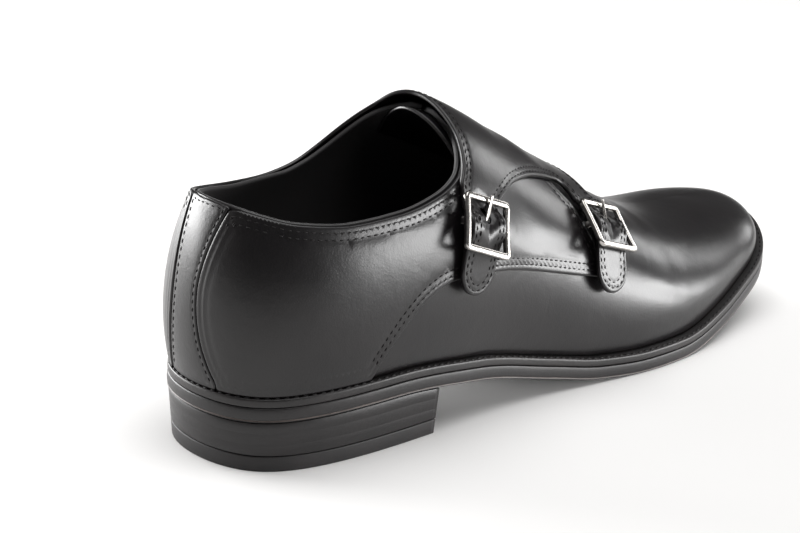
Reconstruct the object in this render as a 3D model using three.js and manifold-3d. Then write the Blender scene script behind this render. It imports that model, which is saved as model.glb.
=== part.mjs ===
// A black double monk strap shoe for the right foot, about EU 43, in millimetres.
// +Z is up, +Y runs from heel to toe and +X points to the outer (lateral) side.
// The whole upper follows one last: a table of sections whose wall curves run from the feather line,
// where the upper meets the welt, up to the ridge of the instep and toe.
import * as THREE from "three";
import { mergeVertices } from "three/addons/utils/BufferGeometryUtils.js";
import Module from "manifold-3d";

const wasm = await Module();
wasm.setup();
const { Manifold, Mesh } = wasm;

// ---------------------------------------------------------------- driving sizes
const WALL = 2.0; // upper leather and lining together
const GAP = 0.3; // clearance between neighbouring pieces
const SKIN_GAP = 0.45; // clearance under a curved overlay
const OVERLAY = 1.2; // quarter leather that lies on the vamp
const STRAP = 1.6; // folded and stitched strap leather
const STRAP_HALF = 8.2; // half the width of each buckled arm
const TAB = 0.9; // leather tab that holds a buckle
const FRAME_WIDE = 24.5; // buckle frame across the strap
const FRAME_LONG = 21; // buckle frame along the strap
const FRAME_BAR = 2.5; // face width of the frame
const FRAME_THICK = 2.0;
const PIN = 0.9; // radius of the centre bar
const TONGUE = 1.4;
const TONGUE_GAP = 0.5;
const WELT_THICK = 3.0;
const SOLE_THICK = 5.2;
const INSOLE_THICK = 3.0;
const LIFT_THICK = 6.0; // rubber top piece under the heel stack
const HEEL_TAPER = 1.6; // how far the heel draws in from seat to floor
const BREAST_Y = 80; // front face of the heel at its edges
const BREAST_HOLLOW = 4; // depth of the curve in that face
const SEAT_WALL_BOTTOM = 0.4; // the wall stands this far above the welt
const THROAT_Y = 106; // where the collar crosses the ridge

// ---------------------------------------------------------------- the last
// One row for each section, heel to toe. y and outer/inner: the feather line. ridge*: the top line.
// low/high: how far the wall swells at a third and two thirds of its rise, outer and inner side.
const SECTIONS = [
  { name: "heel back", y: 4, outer: 0, inner: 0, ridgeX: 0, ridgeY: 24, ridgeZ: 113,
    low: [5, 5], high: [-3.5, -3.5] },
  { name: "heel turn", y: 7.5, outer: 16, inner: -16, ridgeX: 0, ridgeY: 26.5, ridgeZ: 113,
    low: [4.5, 5], high: [-2.5, -3] },
  { name: "heel curve", y: 19, outer: 26.5, inner: -26.5, ridgeX: -0.5, ridgeY: 34, ridgeZ: 113,
    low: [4, 4.5], high: [-1, -1.5] },
  { name: "heel side", y: 40, outer: 32, inner: -30.5, ridgeX: -0.5, ridgeY: 47, ridgeZ: 113.5,
    low: [4, 4], high: [0, 0] },
  { name: "seat front", y: 66, outer: 34, inner: -30, ridgeX: -1, ridgeY: 67, ridgeZ: 113.5,
    low: [4.5, 4], high: [1, 1] },
  { name: "rear waist", y: 92, outer: 34, inner: -27, ridgeX: -1.5, ridgeY: 92, ridgeZ: 111,
    low: [5, 5], high: [2, 2] },
  { name: "waist", y: 118, outer: 33.5, inner: -25.5, ridgeX: -2, ridgeY: 118, ridgeZ: 99.5,
    low: [5, 6], high: [2, 2] },
  { name: "front waist", y: 144, outer: 35, inner: -27.5, ridgeX: -3, ridgeY: 144, ridgeZ: 85,
    low: [5, 6], high: [1.5, 1.5] },
  { name: "rear joint", y: 168, outer: 38, inner: -34, ridgeX: -4, ridgeY: 168, ridgeZ: 72,
    low: [4, 4], high: [0.5, 0.5] },
  { name: "joint", y: 192, outer: 41, inner: -40.5, ridgeX: -5, ridgeY: 191, ridgeZ: 61,
    low: [3, 3], high: [0, 0.5] },
  { name: "ball", y: 214, outer: 40.5, inner: -44, ridgeX: -6, ridgeY: 211, ridgeZ: 51.5,
    low: [3, 3], high: [0.5, 1] },
  { name: "toe root", y: 236, outer: 37, inner: -43.5, ridgeX: -6, ridgeY: 230, ridgeZ: 45,
    low: [3, 3], high: [1, 1] },
  { name: "toe box", y: 258, outer: 31, inner: -39, ridgeX: -6, ridgeY: 246, ridgeZ: 42.5,
    low: [3, 3], high: [1.5, 1.5] },
  { name: "toe side", y: 277, outer: 24, inner: -31.5, ridgeX: -6, ridgeY: 257, ridgeZ: 42,
    low: [3, 3], high: [2, 2] },
  { name: "toe curve", y: 291, outer: 10.5, inner: -20.5, ridgeX: -6, ridgeY: 264, ridgeZ: 41.5,
    low: [3, 3], high: [2, 2] },
  { name: "toe tip", y: 297, outer: -6, inner: -6, ridgeX: -6, ridgeY: 266.5, ridgeZ: 41.5,
    low: [3, 3], high: [2, 2] },
];
const TIP = SECTIONS.length - 1;
const AROUND = 2 * TIP; // stations right round the shoe: outer side 0 to TIP, inner side TIP to AROUND

// Height of the feather line above the floor, along the shoe.
const BED = [
  { y: -10, z: 26.6 },
  { y: 0, z: 27 },
  { y: 60, z: 28 },
  { y: 100, z: 24 },
  { y: 140, z: 15 },
  { y: 165, z: 10 },
  { y: 188, z: 8.5 },
  { y: 210, z: 8.5 },
  { y: 240, z: 13.5 },
  { y: 270, z: 21.5 },
  { y: 310, z: 36 },
];

// How far welt and outsole stand out beyond the feather line, by section.
const EDGE = [4.6, 4.6, 4.6, 4.6, 4.6, 4.8, 5, 5.4, 5.8, 6, 6.2, 6.4, 6.6, 6.8, 7, 7];

// The collar seen from the side. The inner side climbs earlier, with the leather that becomes the strap.
const COLLAR = [
  { y: -5, z: 94 },
  { y: 8, z: 90 },
  { y: 22, z: 86 },
  { y: 42, z: 83.8 },
  { y: 62, z: 84.5 },
  { y: 80, z: 87.5 },
  { y: 92, z: 92 },
  { y: 99, z: 99 },
  { y: 103, z: 106 },
  { y: THROAT_Y, z: 114 },
  { y: THROAT_Y + 3, z: 130 },
];
const COLLAR_INNER = [
  { y: -5, z: 94 },
  { y: 8, z: 90 },
  { y: 22, z: 86 },
  { y: 42, z: 83 },
  { y: 62, z: 83.5 },
  { y: 71, z: 86 },
  { y: 79, z: 90.5 },
  { y: 87, z: 97 },
  { y: 94, z: 103.5 },
  { y: 101, z: 108.5 },
  { y: THROAT_Y, z: 114 },
  { y: THROAT_Y + 3, z: 130 },
];

const clamp = THREE.MathUtils.clamp;
const lerp = THREE.MathUtils.lerp;

// A smooth closed curve through values spaced one apart.
function periodicSpline(values) {
  const n = values.length;
  const at = (list, i) => list[((i % n) + n) % n];
  const bend = values.map(() => 0);
  for (let sweep = 0; sweep < 60; sweep++)
    for (let i = 0; i < n; i++) {
      const turn = at(values, i + 1) - 2 * values[i] + at(values, i - 1);
      bend[i] = (6 * turn - at(bend, i - 1) - at(bend, i + 1)) / 4;
    }
  return (p) => {
    const i = Math.floor(p);
    const f = p - i;
    const g = 1 - f;
    const straight = g * at(values, i) + f * at(values, i + 1);
    return straight + ((g ** 3 - g) * at(bend, i) + (f ** 3 - f) * at(bend, i + 1)) / 6;
  };
}

// A smooth monotone curve through rows of a table, from column "from" to column "to".
function tableCurve(rows, from, to) {
  const slope = rows.slice(1).map((r, i) => (r[to] - rows[i][to]) / (r[from] - rows[i][from]));
  const tangent = rows.map((r, i) => {
    if (i === 0) return slope[0];
    if (i === rows.length - 1) return slope[i - 1];
    const product = slope[i - 1] * slope[i];
    return product <= 0 ? 0 : (2 * product) / (slope[i - 1] + slope[i]);
  });
  return (x) => {
    const last = rows.length - 2;
    let i = 0;
    while (i < last && x > rows[i + 1][from]) i++;
    const width = rows[i + 1][from] - rows[i][from];
    const f = clamp((x - rows[i][from]) / width, 0, 1);
    const rise = rows[i + 1][to] - rows[i][to];
    const a = tangent[i] * width;
    const b = tangent[i + 1] * width;
    return rows[i][to] + f * a + f * f * (3 * rise - 2 * a - b) + f ** 3 * (a + b - 2 * rise);
  };
}

// Both sides of every section as one closed list: outer side heel to toe, then inner side toe to heel.
function bothSides(pick) {
  const outer = SECTIONS.map((row) => pick(row, 0));
  const inner = SECTIONS.slice(1, TIP).map((row) => pick(row, 1));
  return periodicSpline([...outer, ...inner.reverse()]);
}

const featherX = bothSides((row, side) => (side ? row.inner : row.outer));
const featherY = bothSides((row) => row.y);
const ridgeX = bothSides((row) => row.ridgeX);
const ridgeY = bothSides((row) => row.ridgeY);
const ridgeZ = bothSides((row) => row.ridgeZ);
const lowSwell = bothSides((row, side) => row.low[side]);
const highSwell = bothSides((row, side) => row.high[side]);
const edgeOut = bothSides((row) => EDGE[SECTIONS.indexOf(row)]);
const bed = tableCurve(BED, "y", "z");
const collarZ = tableCurve(COLLAR, "y", "z");
const collarInnerZ = tableCurve(COLLAR_INNER, "y", "z");

// The bare surface of the last: p is the station round the shoe, t rises from feather line to ridge.
function lastPoint(p, t) {
  const a = (t * Math.PI) / 2;
  const x0 = featherX(p);
  const y0 = featherY(p);
  const z0 = bed(y0);
  const inX = ridgeX(p) - x0;
  const inY = ridgeY(p) - y0;
  const reach = Math.hypot(inX, inY);
  const swell = 6.75 * t * (1 - t) * ((1 - t) * lowSwell(p) + t * highSwell(p));
  const share = 1 - Math.cos(a) - swell / reach;
  return new THREE.Vector3(x0 + inX * share, y0 + inY * share, lerp(z0, ridgeZ(p), Math.sin(a)));
}

// Outward direction of the last's surface.
function lastNormal(p, t) {
  const step = 0.01;
  const t0 = clamp(t, step, 1 - step);
  const along = lastPoint(p + step, t0).sub(lastPoint(p - step, t0));
  const up = lastPoint(p, t0 + step).sub(lastPoint(p, t0 - step));
  const out = up.cross(along).normalize();
  if (t > 1 - step) out.setX(0).normalize(); // both sides share the ridge
  return out.multiplyScalar(-1);
}

function grown(p, t, by) {
  return lastPoint(p, t).addScaledVector(lastNormal(p, t), by);
}

// The same surface by y along the ridge and wrap w: 0 outer feather line, 1 ridge, 2 inner feather line.
function stationOf(y) {
  let low = 0;
  let high = TIP;
  for (let i = 0; i < 40; i++) {
    const mid = (low + high) / 2;
    if (ridgeY(mid) < y) low = mid;
    else high = mid;
  }
  return (low + high) / 2;
}

function wrapped(y, w, by) {
  const station = stationOf(y);
  return w <= 1 ? grown(station, w, by) : grown(AROUND - station, 2 - w, by);
}

// ---------------------------------------------------------------- solids from loops
// Joins loops of points, one after another, into a closed body. A ring joins its last loop to its first.
function skin(loops, { ring = false, caps = true } = {}) {
  const count = loops[0].length;
  const points = loops.flat();
  const index = [];
  const steps = ring ? loops.length : loops.length - 1;
  for (let i = 0; i < steps; i++)
    for (let j = 0; j < count; j++) {
      const a = i * count + j;
      const b = i * count + ((j + 1) % count);
      const c = ((i + 1) % loops.length) * count + ((j + 1) % count);
      const d = ((i + 1) % loops.length) * count + j;
      index.push(a, b, c, a, c, d);
    }
  if (!ring && caps)
    for (let j = 1; j < count - 1; j++) {
      const end = (loops.length - 1) * count;
      index.push(0, j + 1, j, end, end + j, end + j + 1);
    }
  const geometry = new THREE.BufferGeometry().setFromPoints(points);
  geometry.setIndex(index);
  return solid(geometry);
}

// A manifold-3d solid from a closed geometry, turned to face outwards.
function solid(geometry) {
  const bare = geometry.clone();
  bare.deleteAttribute("normal");
  bare.deleteAttribute("uv");
  const merged = mergeVertices(bare, 1e-3);
  const from = merged.index.array;
  const kept = [];
  for (let i = 0; i < from.length; i += 3) {
    const [a, b, c] = [from[i], from[i + 1], from[i + 2]];
    if (a !== b && b !== c && a !== c) kept.push(a, b, c);
  }
  const vertProperties = merged.attributes.position.array;
  const build = (list) => {
    const triVerts = new Uint32Array(list);
    return new Manifold(new Mesh({ numProp: 3, vertProperties, triVerts }));
  };
  const made = build(kept);
  return made.volume() >= 0 ? made : build(kept.reverse());
}

const spaced = (n, from, to) => Array.from({ length: n + 1 }, (_, i) => lerp(from, to, i / n));

// ---------------------------------------------------------------- upper
const STATIONS = spaced(TIP * 3, 0, TIP);
const RISES = spaced(8, 0, 1);

// The last grown by some amount, as a closed body whose walls run "drop" below the feather line.
function form(by, drop) {
  const amount = typeof by === "function" ? by : () => by;
  return skin(
    STATIONS.map((station) => {
      const side = (p) => {
        const points = RISES.map((t) => grown(p, t, amount(p, t)));
        points.forEach((q, i) => q.setZ(Math.max(q.z, bed(q.y) + SEAT_WALL_BOTTOM + i)));
        points[0].setZ(bed(points[0].y) + SEAT_WALL_BOTTOM - drop);
        return points;
      };
      const outer = side(station);
      const inner = side(AROUND - station);
      if (station === 0 || station === TIP) return [...outer, ...outer.slice(0, -1).reverse()];
      inner[inner.length - 1] = outer[outer.length - 1].clone();
      return [...outer, ...inner.slice(0, -1).reverse()];
    }),
    { caps: false },
  );
}

// A skin of leather between two distances from the last.
const layer = (from, to) => form(to, 0).subtract(form(from, 8));

// A prism across the shoe over a side-view outline given as rows of y and z.
function sidePrism(outline, xFrom, xTo) {
  const shape = new THREE.Shape(outline.map(({ y, z }) => new THREE.Vector2(y, z)));
  const prism = new THREE.ExtrudeGeometry(shape, { depth: xTo - xFrom, bevelEnabled: false });
  prism.applyMatrix4(new THREE.Matrix4().set(0, 0, 1, xFrom, 1, 0, 0, 0, 0, 1, 0, 0, 0, 0, 0, 1));
  return solid(prism);
}

// A smooth line through a few rows of y and z.
function smooth(rows, count) {
  const curve = new THREE.CatmullRomCurve3(
    rows.map(({ y, z }) => new THREE.Vector3(y, z, 0)),
    false,
    "centripetal",
  );
  return curve.getPoints(count).map((q) => ({ y: q.x, z: q.y }));
}

const CENTRE_X = -1.5; // the two collar lines meet here, on the ridge and at the heel
const CUT_FROM = -20;
const CUT_TO = THROAT_Y + 2;
const CUT_TOP = 170;
const above = (line) => [
  { y: CUT_FROM, z: CUT_TOP },
  ...spaced(32, CUT_FROM, CUT_TO).map((y) => ({ y, z: line(y) })),
  { y: CUT_TO, z: CUT_TOP },
];
const collarCut = sidePrism(above(collarZ), CENTRE_X, 80).add(sidePrism(above(collarInnerZ), -80, CENTRE_X));
const upper = layer(0, WALL).subtract(collarCut);

// ---------------------------------------------------------------- quarters, back stay and strap
const QUARTER = WALL + SKIN_GAP; // underside of the leather that lies on the shell
const OVER = QUARTER + OVERLAY + GAP; // underside of the strap where it crosses the outer quarter

// Back stay: a strip down the back seam, wide at the top and at the welt. It sits more on the inner side.
const STAY_WAIST = 62; // height of its narrowest place
const STAY_OUTER = { waist: 1.4, top: 6, foot: 7.8 }; // how far it reaches to each side, and how much it widens
const STAY_INNER = { waist: 12, top: 1, foot: 2.5 };
function stayReach(side, z) {
  const widerUp = clamp((z - STAY_WAIST) / 28, 0, 1) ** 1.5;
  const widerDown = clamp((STAY_WAIST - z) / 32, 0, 1) ** 2;
  return side.waist + side.top * widerUp + side.foot * widerDown;
}
function stayPrism(extra) {
  const rises = spaced(14, 20, 100);
  const outline = [
    ...rises.map((z) => [stayReach(STAY_OUTER, z) + extra, z]),
    ...rises.reverse().map((z) => [-stayReach(STAY_INNER, z) - extra, z]),
  ];
  const shape = new THREE.Shape(outline.map(([x, z]) => new THREE.Vector2(x, z)));
  const prism = new THREE.ExtrudeGeometry(shape, { depth: 50, bevelEnabled: false });
  prism.applyMatrix4(new THREE.Matrix4().set(1, 0, 0, 0, 0, 0, 1, -25, 0, 1, 0, 0, 0, 0, 0, 1));
  return solid(prism);
}
const quarterLayer = layer(QUARTER, QUARTER + OVERLAY);
const backStay = quarterLayer.intersect(stayPrism(0)).subtract(collarCut);

// Outer quarter: from the back stay to under the front arm; its top edge hides under the strap.
const OUTER_SEAM = [
  { y: 46, z: 20 },
  { y: 50, z: 32.5 },
  { y: 55.5, z: 40.5 },
  { y: 64, z: 49.5 },
  { y: 72, z: 55 },
  { y: 80, z: 57.6 },
  { y: 92, z: 57.4 },
  { y: 104, z: 56.6 },
  { y: 120, z: 53.6 },
  { y: 134, z: 50 },
  { y: 152, z: 45 },
  { y: 167, z: 41.2 },
];
const OUTER_FRONT = [
  { y: 167, z: 41.2 },
  { y: 164.5, z: 50 },
  { y: 161.5, z: 60 },
  { y: 159.5, z: 68 },
];
const OUTER_HIDDEN = [
  { y: 159.5, z: 68 },
  { y: 150, z: 80 },
  { y: 135, z: 87 },
  { y: 118, z: 92 },
  { y: 104, z: 101 },
  { y: 101, z: 104 },
  { y: 96, z: 130 },
];
const BELOW_SOLE = { y: -20, z: 20 };
const BEHIND_HEEL = { y: -20, z: 130 };
const SIDE_REACH = 80;
const outerOutline = [
  BELOW_SOLE,
  ...smooth(OUTER_SEAM, 30),
  ...smooth(OUTER_FRONT, 8).slice(1),
  ...OUTER_HIDDEN.slice(1),
  BEHIND_HEEL,
];
const lateralQuarter = quarterLayer
  .intersect(sidePrism(outerOutline, 0, SIDE_REACH))
  .subtract(collarCut)
  .subtract(stayPrism(GAP));

// Inner quarter and strap are one piece of leather. It leaves the inner side of the heel, climbs over the
// instep and ends in two arms on the outer side, so it has to lie higher once it crosses the outer quarter.
const crossing = (p, t) => {
  const w = p <= TIP ? t : 2 - t;
  return lerp(OVER, QUARTER, THREE.MathUtils.smoothstep(w, 1.02, 1.3));
};
const strapLayer = form((p, t) => crossing(p, t) + STRAP, 0).subtract(form(crossing, 8));
const TOPLINE = [
  { y: -20, z: 98 },
  { y: -5, z: 94.5 },
  { y: 8, z: 90.5 },
  { y: 22, z: 86.5 },
  { y: 42, z: 83.6 },
  { y: 60, z: 84 },
  { y: 70, z: 86.6 },
  { y: 78, z: 91.4 },
  { y: 86, z: 98 },
  { y: 92, z: 103.6 },
  { y: 97, z: 109.5 },
  { y: 98, z: 130 },
];
const INNER_SEAM = [
  { y: 46, z: 20 },
  { y: 50, z: 33 },
  { y: 55.5, z: 41 },
  { y: 64, z: 49 },
  { y: 76, z: 52.5 },
  { y: 92, z: 51.5 },
  { y: 110, z: 47 },
  { y: 134, z: 40.5 },
  { y: 152, z: 36 },
  { y: 170, z: 33.5 },
  { y: 178, z: 34 },
];
const INNER_FRONT = [
  { y: 178, z: 34 },
  { y: 180, z: 44 },
  { y: 179.5, z: 56 },
  { y: 177.5, z: 68 },
  { y: 176, z: 90 },
];
// Where the strap crosses to the outer side: its back edge, and the arch between its two arms.
const STRAP_BACK = [
  { y: 98, z: 130 },
  { y: 98.6, z: 112 },
  { y: 98.2, z: 104.5 },
  { y: 95.6, z: 98.5 },
  { y: 93, z: 94 },
  { y: 90.5, z: 91 },
];
const ARCH = [
  { y: 104.5, z: 78 },
  { y: 107, z: 79.8 },
  { y: 110, z: 81.2 },
  { y: 114, z: 82.4 },
  { y: 119, z: 83.6 },
  { y: 126, z: 83.7 },
  { y: 135, z: 82.7 },
  { y: 142.6, z: 80.8 },
  { y: 151, z: 78 },
  { y: 158, z: 75.2 },
  { y: 161, z: 72.6 },
  { y: 161.6, z: 70.6 },
  { y: 161, z: 69 },
];
const FRONT_CORNER = { y: 176, z: 64.6 };
const FRONT_TOP = { y: 176, z: 90 };
const innerOutline = [
  ...smooth(TOPLINE, 40),
  ...smooth(INNER_FRONT, 12).reverse(),
  ...smooth(INNER_SEAM, 30).reverse().slice(1),
  BELOW_SOLE,
];
const overStrap = [...smooth(STRAP_BACK, 14), ...smooth(ARCH, 22), FRONT_CORNER, FRONT_TOP];
const strapBody = strapLayer
  .intersect(sidePrism(innerOutline, -SIDE_REACH, CENTRE_X).add(sidePrism(overStrap, CENTRE_X, SIDE_REACH)))
  .subtract(stayPrism(GAP));

// ---------------------------------------------------------------- buckled arms
// One row for each buckle: its centre in the y and wrap chart, the turn of the arm in the plane of the
// leather, and how far the metal frame is twisted from the arm.
const BUCKLES = [
  { name: "rear", y: 94.6, w: 0.389, turn: 0, twist: -0.15 },
  { name: "front", y: 168.6, w: 0.515, turn: 0.1, twist: -0.05 },
].map(seatOf);

// The leather at a buckle. "seat" is a local frame: x across the strap, y up it, z outwards, origin on the
// last. "perMm" is wrap per millimetre climbed, "drift" how far the strap then moves along y.
function seatOf({ name, y, w, turn, twist }) {
  const out = lastNormal(stationOf(y), w);
  const level = wrapped(y + 1, w, 0).sub(wrapped(y - 1, w, 0)).divideScalar(2);
  const climb = wrapped(y, w + 0.01, 0).sub(wrapped(y, w - 0.01, 0));
  const perMm = 0.02 / climb.length();
  climb.normalize();
  const across = level.clone().addScaledVector(out, -level.dot(out)).normalize().applyAxisAngle(out, turn);
  const up = out.clone().cross(across);
  const drift = -across.dot(climb) / across.dot(level);
  const seat = new THREE.Matrix4().makeBasis(across, up, out);
  seat.multiply(new THREE.Matrix4().makeRotationZ(twist));
  seat.setPosition(wrapped(y, w, 0));
  return { name, y, w, perMm, drift, seat };
}

// Under and over: how high the arm lies above the last, by distance from the centre bar (up is positive).
const ARM_LIFT = [
  { s: -26, z: OVER + TAB + 0.2 },
  { s: -16, z: OVER + TAB + 0.3 },
  { s: -12, z: OVER + 1.4 },
  { s: -8.6, z: OVER + 2.0 },
  { s: -5, z: OVER + 3.4 },
  { s: -2.4, z: OVER + 4.7 },
  { s: 0, z: OVER + 4.8 },
  { s: 2.4, z: OVER + 4.3 },
  { s: 5, z: OVER + 1.9 },
  { s: 7.6, z: OVER + 0.08 },
  { s: 30, z: OVER + 0.08 },
];
const armLift = tableCurve(ARM_LIFT, "s", "z");
const ARM_TIP = -22;
const ARM_SINK = 0.08; // the arm's faces lie just inside those of the strap it joins

// Half width beside the arm's middle: a round tip, straight sides, then a flare into the strap.
function armHalf(s, flare) {
  const fromTip = s - ARM_TIP;
  const short = Math.max(0, STRAP_HALF - fromTip);
  const round = Math.sqrt(Math.max(0, STRAP_HALF ** 2 - short ** 2));
  return Math.max(round, 0.6) + flare * clamp((s - 11) / 8, 0, 1.6) ** 2;
}

const ARM_ROWS = [-21.9, -21, -19, -16, -12.5, -9, -6.5, -4, -2, 0, 2, 3.6, 5, 6.4, 8.2, 11, 14, 17];

function arm({ y, w, perMm, drift }, flareRear, flareFront) {
  return skin(
    ARM_ROWS.map((s) => {
      const middle = y + drift * s;
      const rear = middle - armHalf(s, flareRear);
      const front = middle + armHalf(s, flareFront);
      const wrap = w + perMm * s;
      const across = spaced(4, rear, front);
      const low = across.map((at) => wrapped(at, wrap, armLift(s)));
      const high = across.map((at) => wrapped(at, wrap, armLift(s) + STRAP - ARM_SINK));
      return [...low, ...high.reverse()];
    }),
  );
}

// Plain bodies as three.js geometry, in a buckle's own frame.
const block = (wide, long, thick, x, y, z) => new THREE.BoxGeometry(wide, long, thick).translate(x, y, z);
const rod = (radius, long, z) =>
  new THREE.CylinderGeometry(radius, radius, long, 12).rotateZ(Math.PI / 2).translate(0, 0, z);
const seated = (geometry, seat) => solid(geometry.clone().applyMatrix4(seat));

const PIN_Z = OVER + TAB + GAP + PIN; // the tab turns round the centre bar
const TURN = PIN + GAP; // inner radius of anything wrapped round the centre bar
const FRAME_Z = OVER + STRAP + 1.95; // underside of the frame over the centre
const FRAME_TILT = 0.15; // the lower bar stands higher, over both strap tip and tab
const WAIST = 0.5; // how far the side bars are drawn in
const PRONG_REST = 0.95; // height of the prong's tip over the top bar, so that its middle clears the bar

function frameGeometry(x, y, depth) {
  const r = 1.1;
  const shape = new THREE.Shape();
  shape.moveTo(-x + r, -y);
  shape.lineTo(x - r, -y);
  shape.quadraticCurveTo(x, -y, x, -y + r);
  shape.quadraticCurveTo(x - 2 * WAIST, 0, x, y - r);
  shape.quadraticCurveTo(x, y, x - r, y);
  shape.lineTo(-x + r, y);
  shape.quadraticCurveTo(-x, y, -x, y - r);
  shape.quadraticCurveTo(-x + 2 * WAIST, 0, -x, -y + r);
  shape.quadraticCurveTo(-x, -y, -x + r, -y);
  return new THREE.ExtrudeGeometry(shape, { depth, bevelEnabled: false, curveSegments: 5 });
}

// The frame: rounded corners, side bars drawn in at the waist and a centre bar between two lugs.
function frameSolid({ seat }) {
  const tilt = (geometry) => seated(geometry.rotateX(-FRAME_TILT).translate(0, 0, FRAME_Z), seat);
  const outside = frameGeometry(FRAME_WIDE / 2, FRAME_LONG / 2, FRAME_THICK);
  const inside = frameGeometry(FRAME_WIDE / 2 - FRAME_BAR, FRAME_LONG / 2 - FRAME_BAR, 3 * FRAME_THICK);
  const ring = tilt(outside).subtract(tilt(inside.translate(0, 0, -FRAME_THICK)));
  const side = FRAME_WIDE / 2 - FRAME_BAR / 2 - 0.75;
  const bottom = PIN_Z - PIN;
  const height = FRAME_Z + 1.2 - bottom;
  const lug = (x) => seated(block(1.7, 3, height, x, 0, bottom + height / 2), seat);
  return ring.add(seated(rod(PIN, 2 * side, PIN_Z), seat)).add(lug(side)).add(lug(-side));
}

// The prong: an eye round the centre bar and a blade that comes through the strap onto the top bar.
function prongSolid({ seat }) {
  const eye = seated(rod(TURN + TAB, 2.2, PIN_Z), seat).subtract(seated(rod(TURN, 4, PIN_Z), seat));
  const tip = FRAME_LONG / 2 + 0.3;
  const from = PIN_Z + TURN;
  const over = FRAME_Z - FRAME_TILT * tip + FRAME_THICK + GAP + PRONG_REST;
  const side = [
    [-0.4, from],
    [0.8, from - 0.1],
    [tip, over],
    [tip, over + 0.9],
    [1.2, from + 1],
    [-0.4, from + TAB - 0.1],
  ];
  const shape = new THREE.Shape(side.map(([y, z]) => new THREE.Vector2(y, z)));
  const blade = new THREE.ExtrudeGeometry(shape, { depth: 2, bevelEnabled: false });
  blade.applyMatrix4(new THREE.Matrix4().set(0, 0, 1, -1, 1, 0, 0, 0, 0, 1, 0, 0, 0, 0, 0, 1));
  return eye.add(seated(blade, seat));
}

// The tab: a loop round the centre bar, notched for the prong, with a tail under the strap tip.
const TAB_HALF = STRAP_HALF - 1;
function tabSolid({ seat, y, w, perMm, drift }) {
  const loop = seated(rod(TURN + TAB, 2 * TAB_HALF, PIN_Z), seat)
    .subtract(seated(rod(TURN, 4 * TAB_HALF, PIN_Z), seat))
    .subtract(seated(block(3.4, 12, 12, 0, 0, PIN_Z), seat));
  const tail = skin(
    [-16.5, -14, -11, -8, -5, -2, 0.6].map((s) => {
      const half = TAB_HALF - (s < -14 ? 2 : 0);
      const middle = y + drift * s;
      const across = spaced(4, middle - half, middle + half);
      const low = across.map((at) => wrapped(at, w + perMm * s, OVER));
      const high = across.map((at) => wrapped(at, w + perMm * s, OVER + TAB));
      return [...low, ...high.reverse()];
    }),
  );
  return loop.add(tail.subtract(seated(block(3.4, 8, 12, 0, 1.6, PIN_Z), seat)));
}

const prongSlot = block(3, 6.2, 14, 0, 3.3, PIN_Z);
// How much each arm widens into the strap, on its rear and on its front edge.
const FLARES = [
  { rear: 0.4, front: 4.4 },
  { rear: 0.2, front: 0.4 },
];
let strap = strapBody;
BUCKLES.forEach((row, i) => {
  const buckled = arm(row, FLARES[i].rear, FLARES[i].front);
  strap = strap.add(buckled.subtract(seated(prongSlot, row.seat)));
});

// Tongue: tucked inside the shell, under the instep.
const tongue = skin(
  [97, 100, 104, 109, 114, 120, 128, 136, 144, 152, 160, 168].map((y) => {
    const reach = lerp(0.36, 0.3, (y - 97) / 71);
    const wraps = spaced(12, 1 - reach, 1 + reach);
    const over = wraps.map((w) => wrapped(y, w, -TONGUE_GAP));
    const under = wraps.map((w) => wrapped(y, w, -TONGUE_GAP - TONGUE));
    return [...over, ...under.reverse()];
  }),
);

// ---------------------------------------------------------------- soles
// A ring or slab round the shoe: outline pushed out by "out" from the feather line.
function outlinePoint(p, out) {
  const step = 0.01;
  const dx = featherX(p + step) - featherX(p - step);
  const dy = featherY(p + step) - featherY(p - step);
  const length = Math.hypot(dx, dy);
  return new THREE.Vector3(featherX(p) + (dy / length) * out, featherY(p) - (dx / length) * out, 0);
}

function slab(outTop, outBottom, top, bottom) {
  return skin(
    STATIONS.map((station) => {
      const corner = (p, out, height) => {
        const point = outlinePoint(p, out(p));
        return point.setZ(height(point.y));
      };
      const inner = station === 0 || station === TIP ? station : AROUND - station;
      return [
        corner(station, outTop, top),
        corner(station, outBottom, bottom),
        corner(inner, outBottom, bottom),
        corner(inner, outTop, top),
      ];
    }),
    { caps: false },
  );
}

const soleTop = (y) => bed(y) - WELT_THICK - GAP;
const soleBottom = (y) => bed(y) - WELT_THICK - GAP - SOLE_THICK;
const insideWall = () => -GAP;

const outsole = slab(edgeOut, edgeOut, soleTop, soleBottom);
const insole = slab(insideWall, insideWall, (y) => bed(y) + INSOLE_THICK, (y) => soleTop(y) + GAP);

const welt = skin(
  spaced(AROUND * 3, 0, AROUND)
    .slice(0, -1)
    .map((p) => {
      const corner = (out, height) => {
        const point = outlinePoint(p, out);
        return point.setZ(height(point.y));
      };
      const under = (y) => bed(y) - WELT_THICK;
      return [corner(edgeOut(p), bed), corner(edgeOut(p), under), corner(0, under), corner(0, bed)];
    }),
  { ring: true },
);

// The heel is the outline of the sole behind a hollow breast line, drawn in towards the floor.
function heelPart(top, bottom) {
  const seat = soleBottom(0);
  const drawnIn = (z) => (p) => edgeOut(p) - 0.4 - (HEEL_TAPER * (seat - z)) / seat;
  const block = slab(drawnIn(top(0)), drawnIn(bottom(0)), top, bottom);
  const shape = new THREE.Shape();
  shape.moveTo(-70, -30);
  shape.lineTo(70, -30);
  shape.lineTo(70, BREAST_Y);
  shape.lineTo(42, BREAST_Y);
  shape.quadraticCurveTo(0, BREAST_Y - 2 * BREAST_HOLLOW, -42, BREAST_Y);
  shape.lineTo(-70, BREAST_Y);
  const behind = new THREE.ExtrudeGeometry(shape, { depth: 60, bevelEnabled: false, curveSegments: 10 });
  behind.translate(0, 0, -10);
  return block.intersect(solid(behind));
}

const heelStack = heelPart((y) => soleBottom(y) - GAP, () => LIFT_THICK);
const heelLift = heelPart(() => LIFT_THICK - GAP, () => 0);

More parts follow.
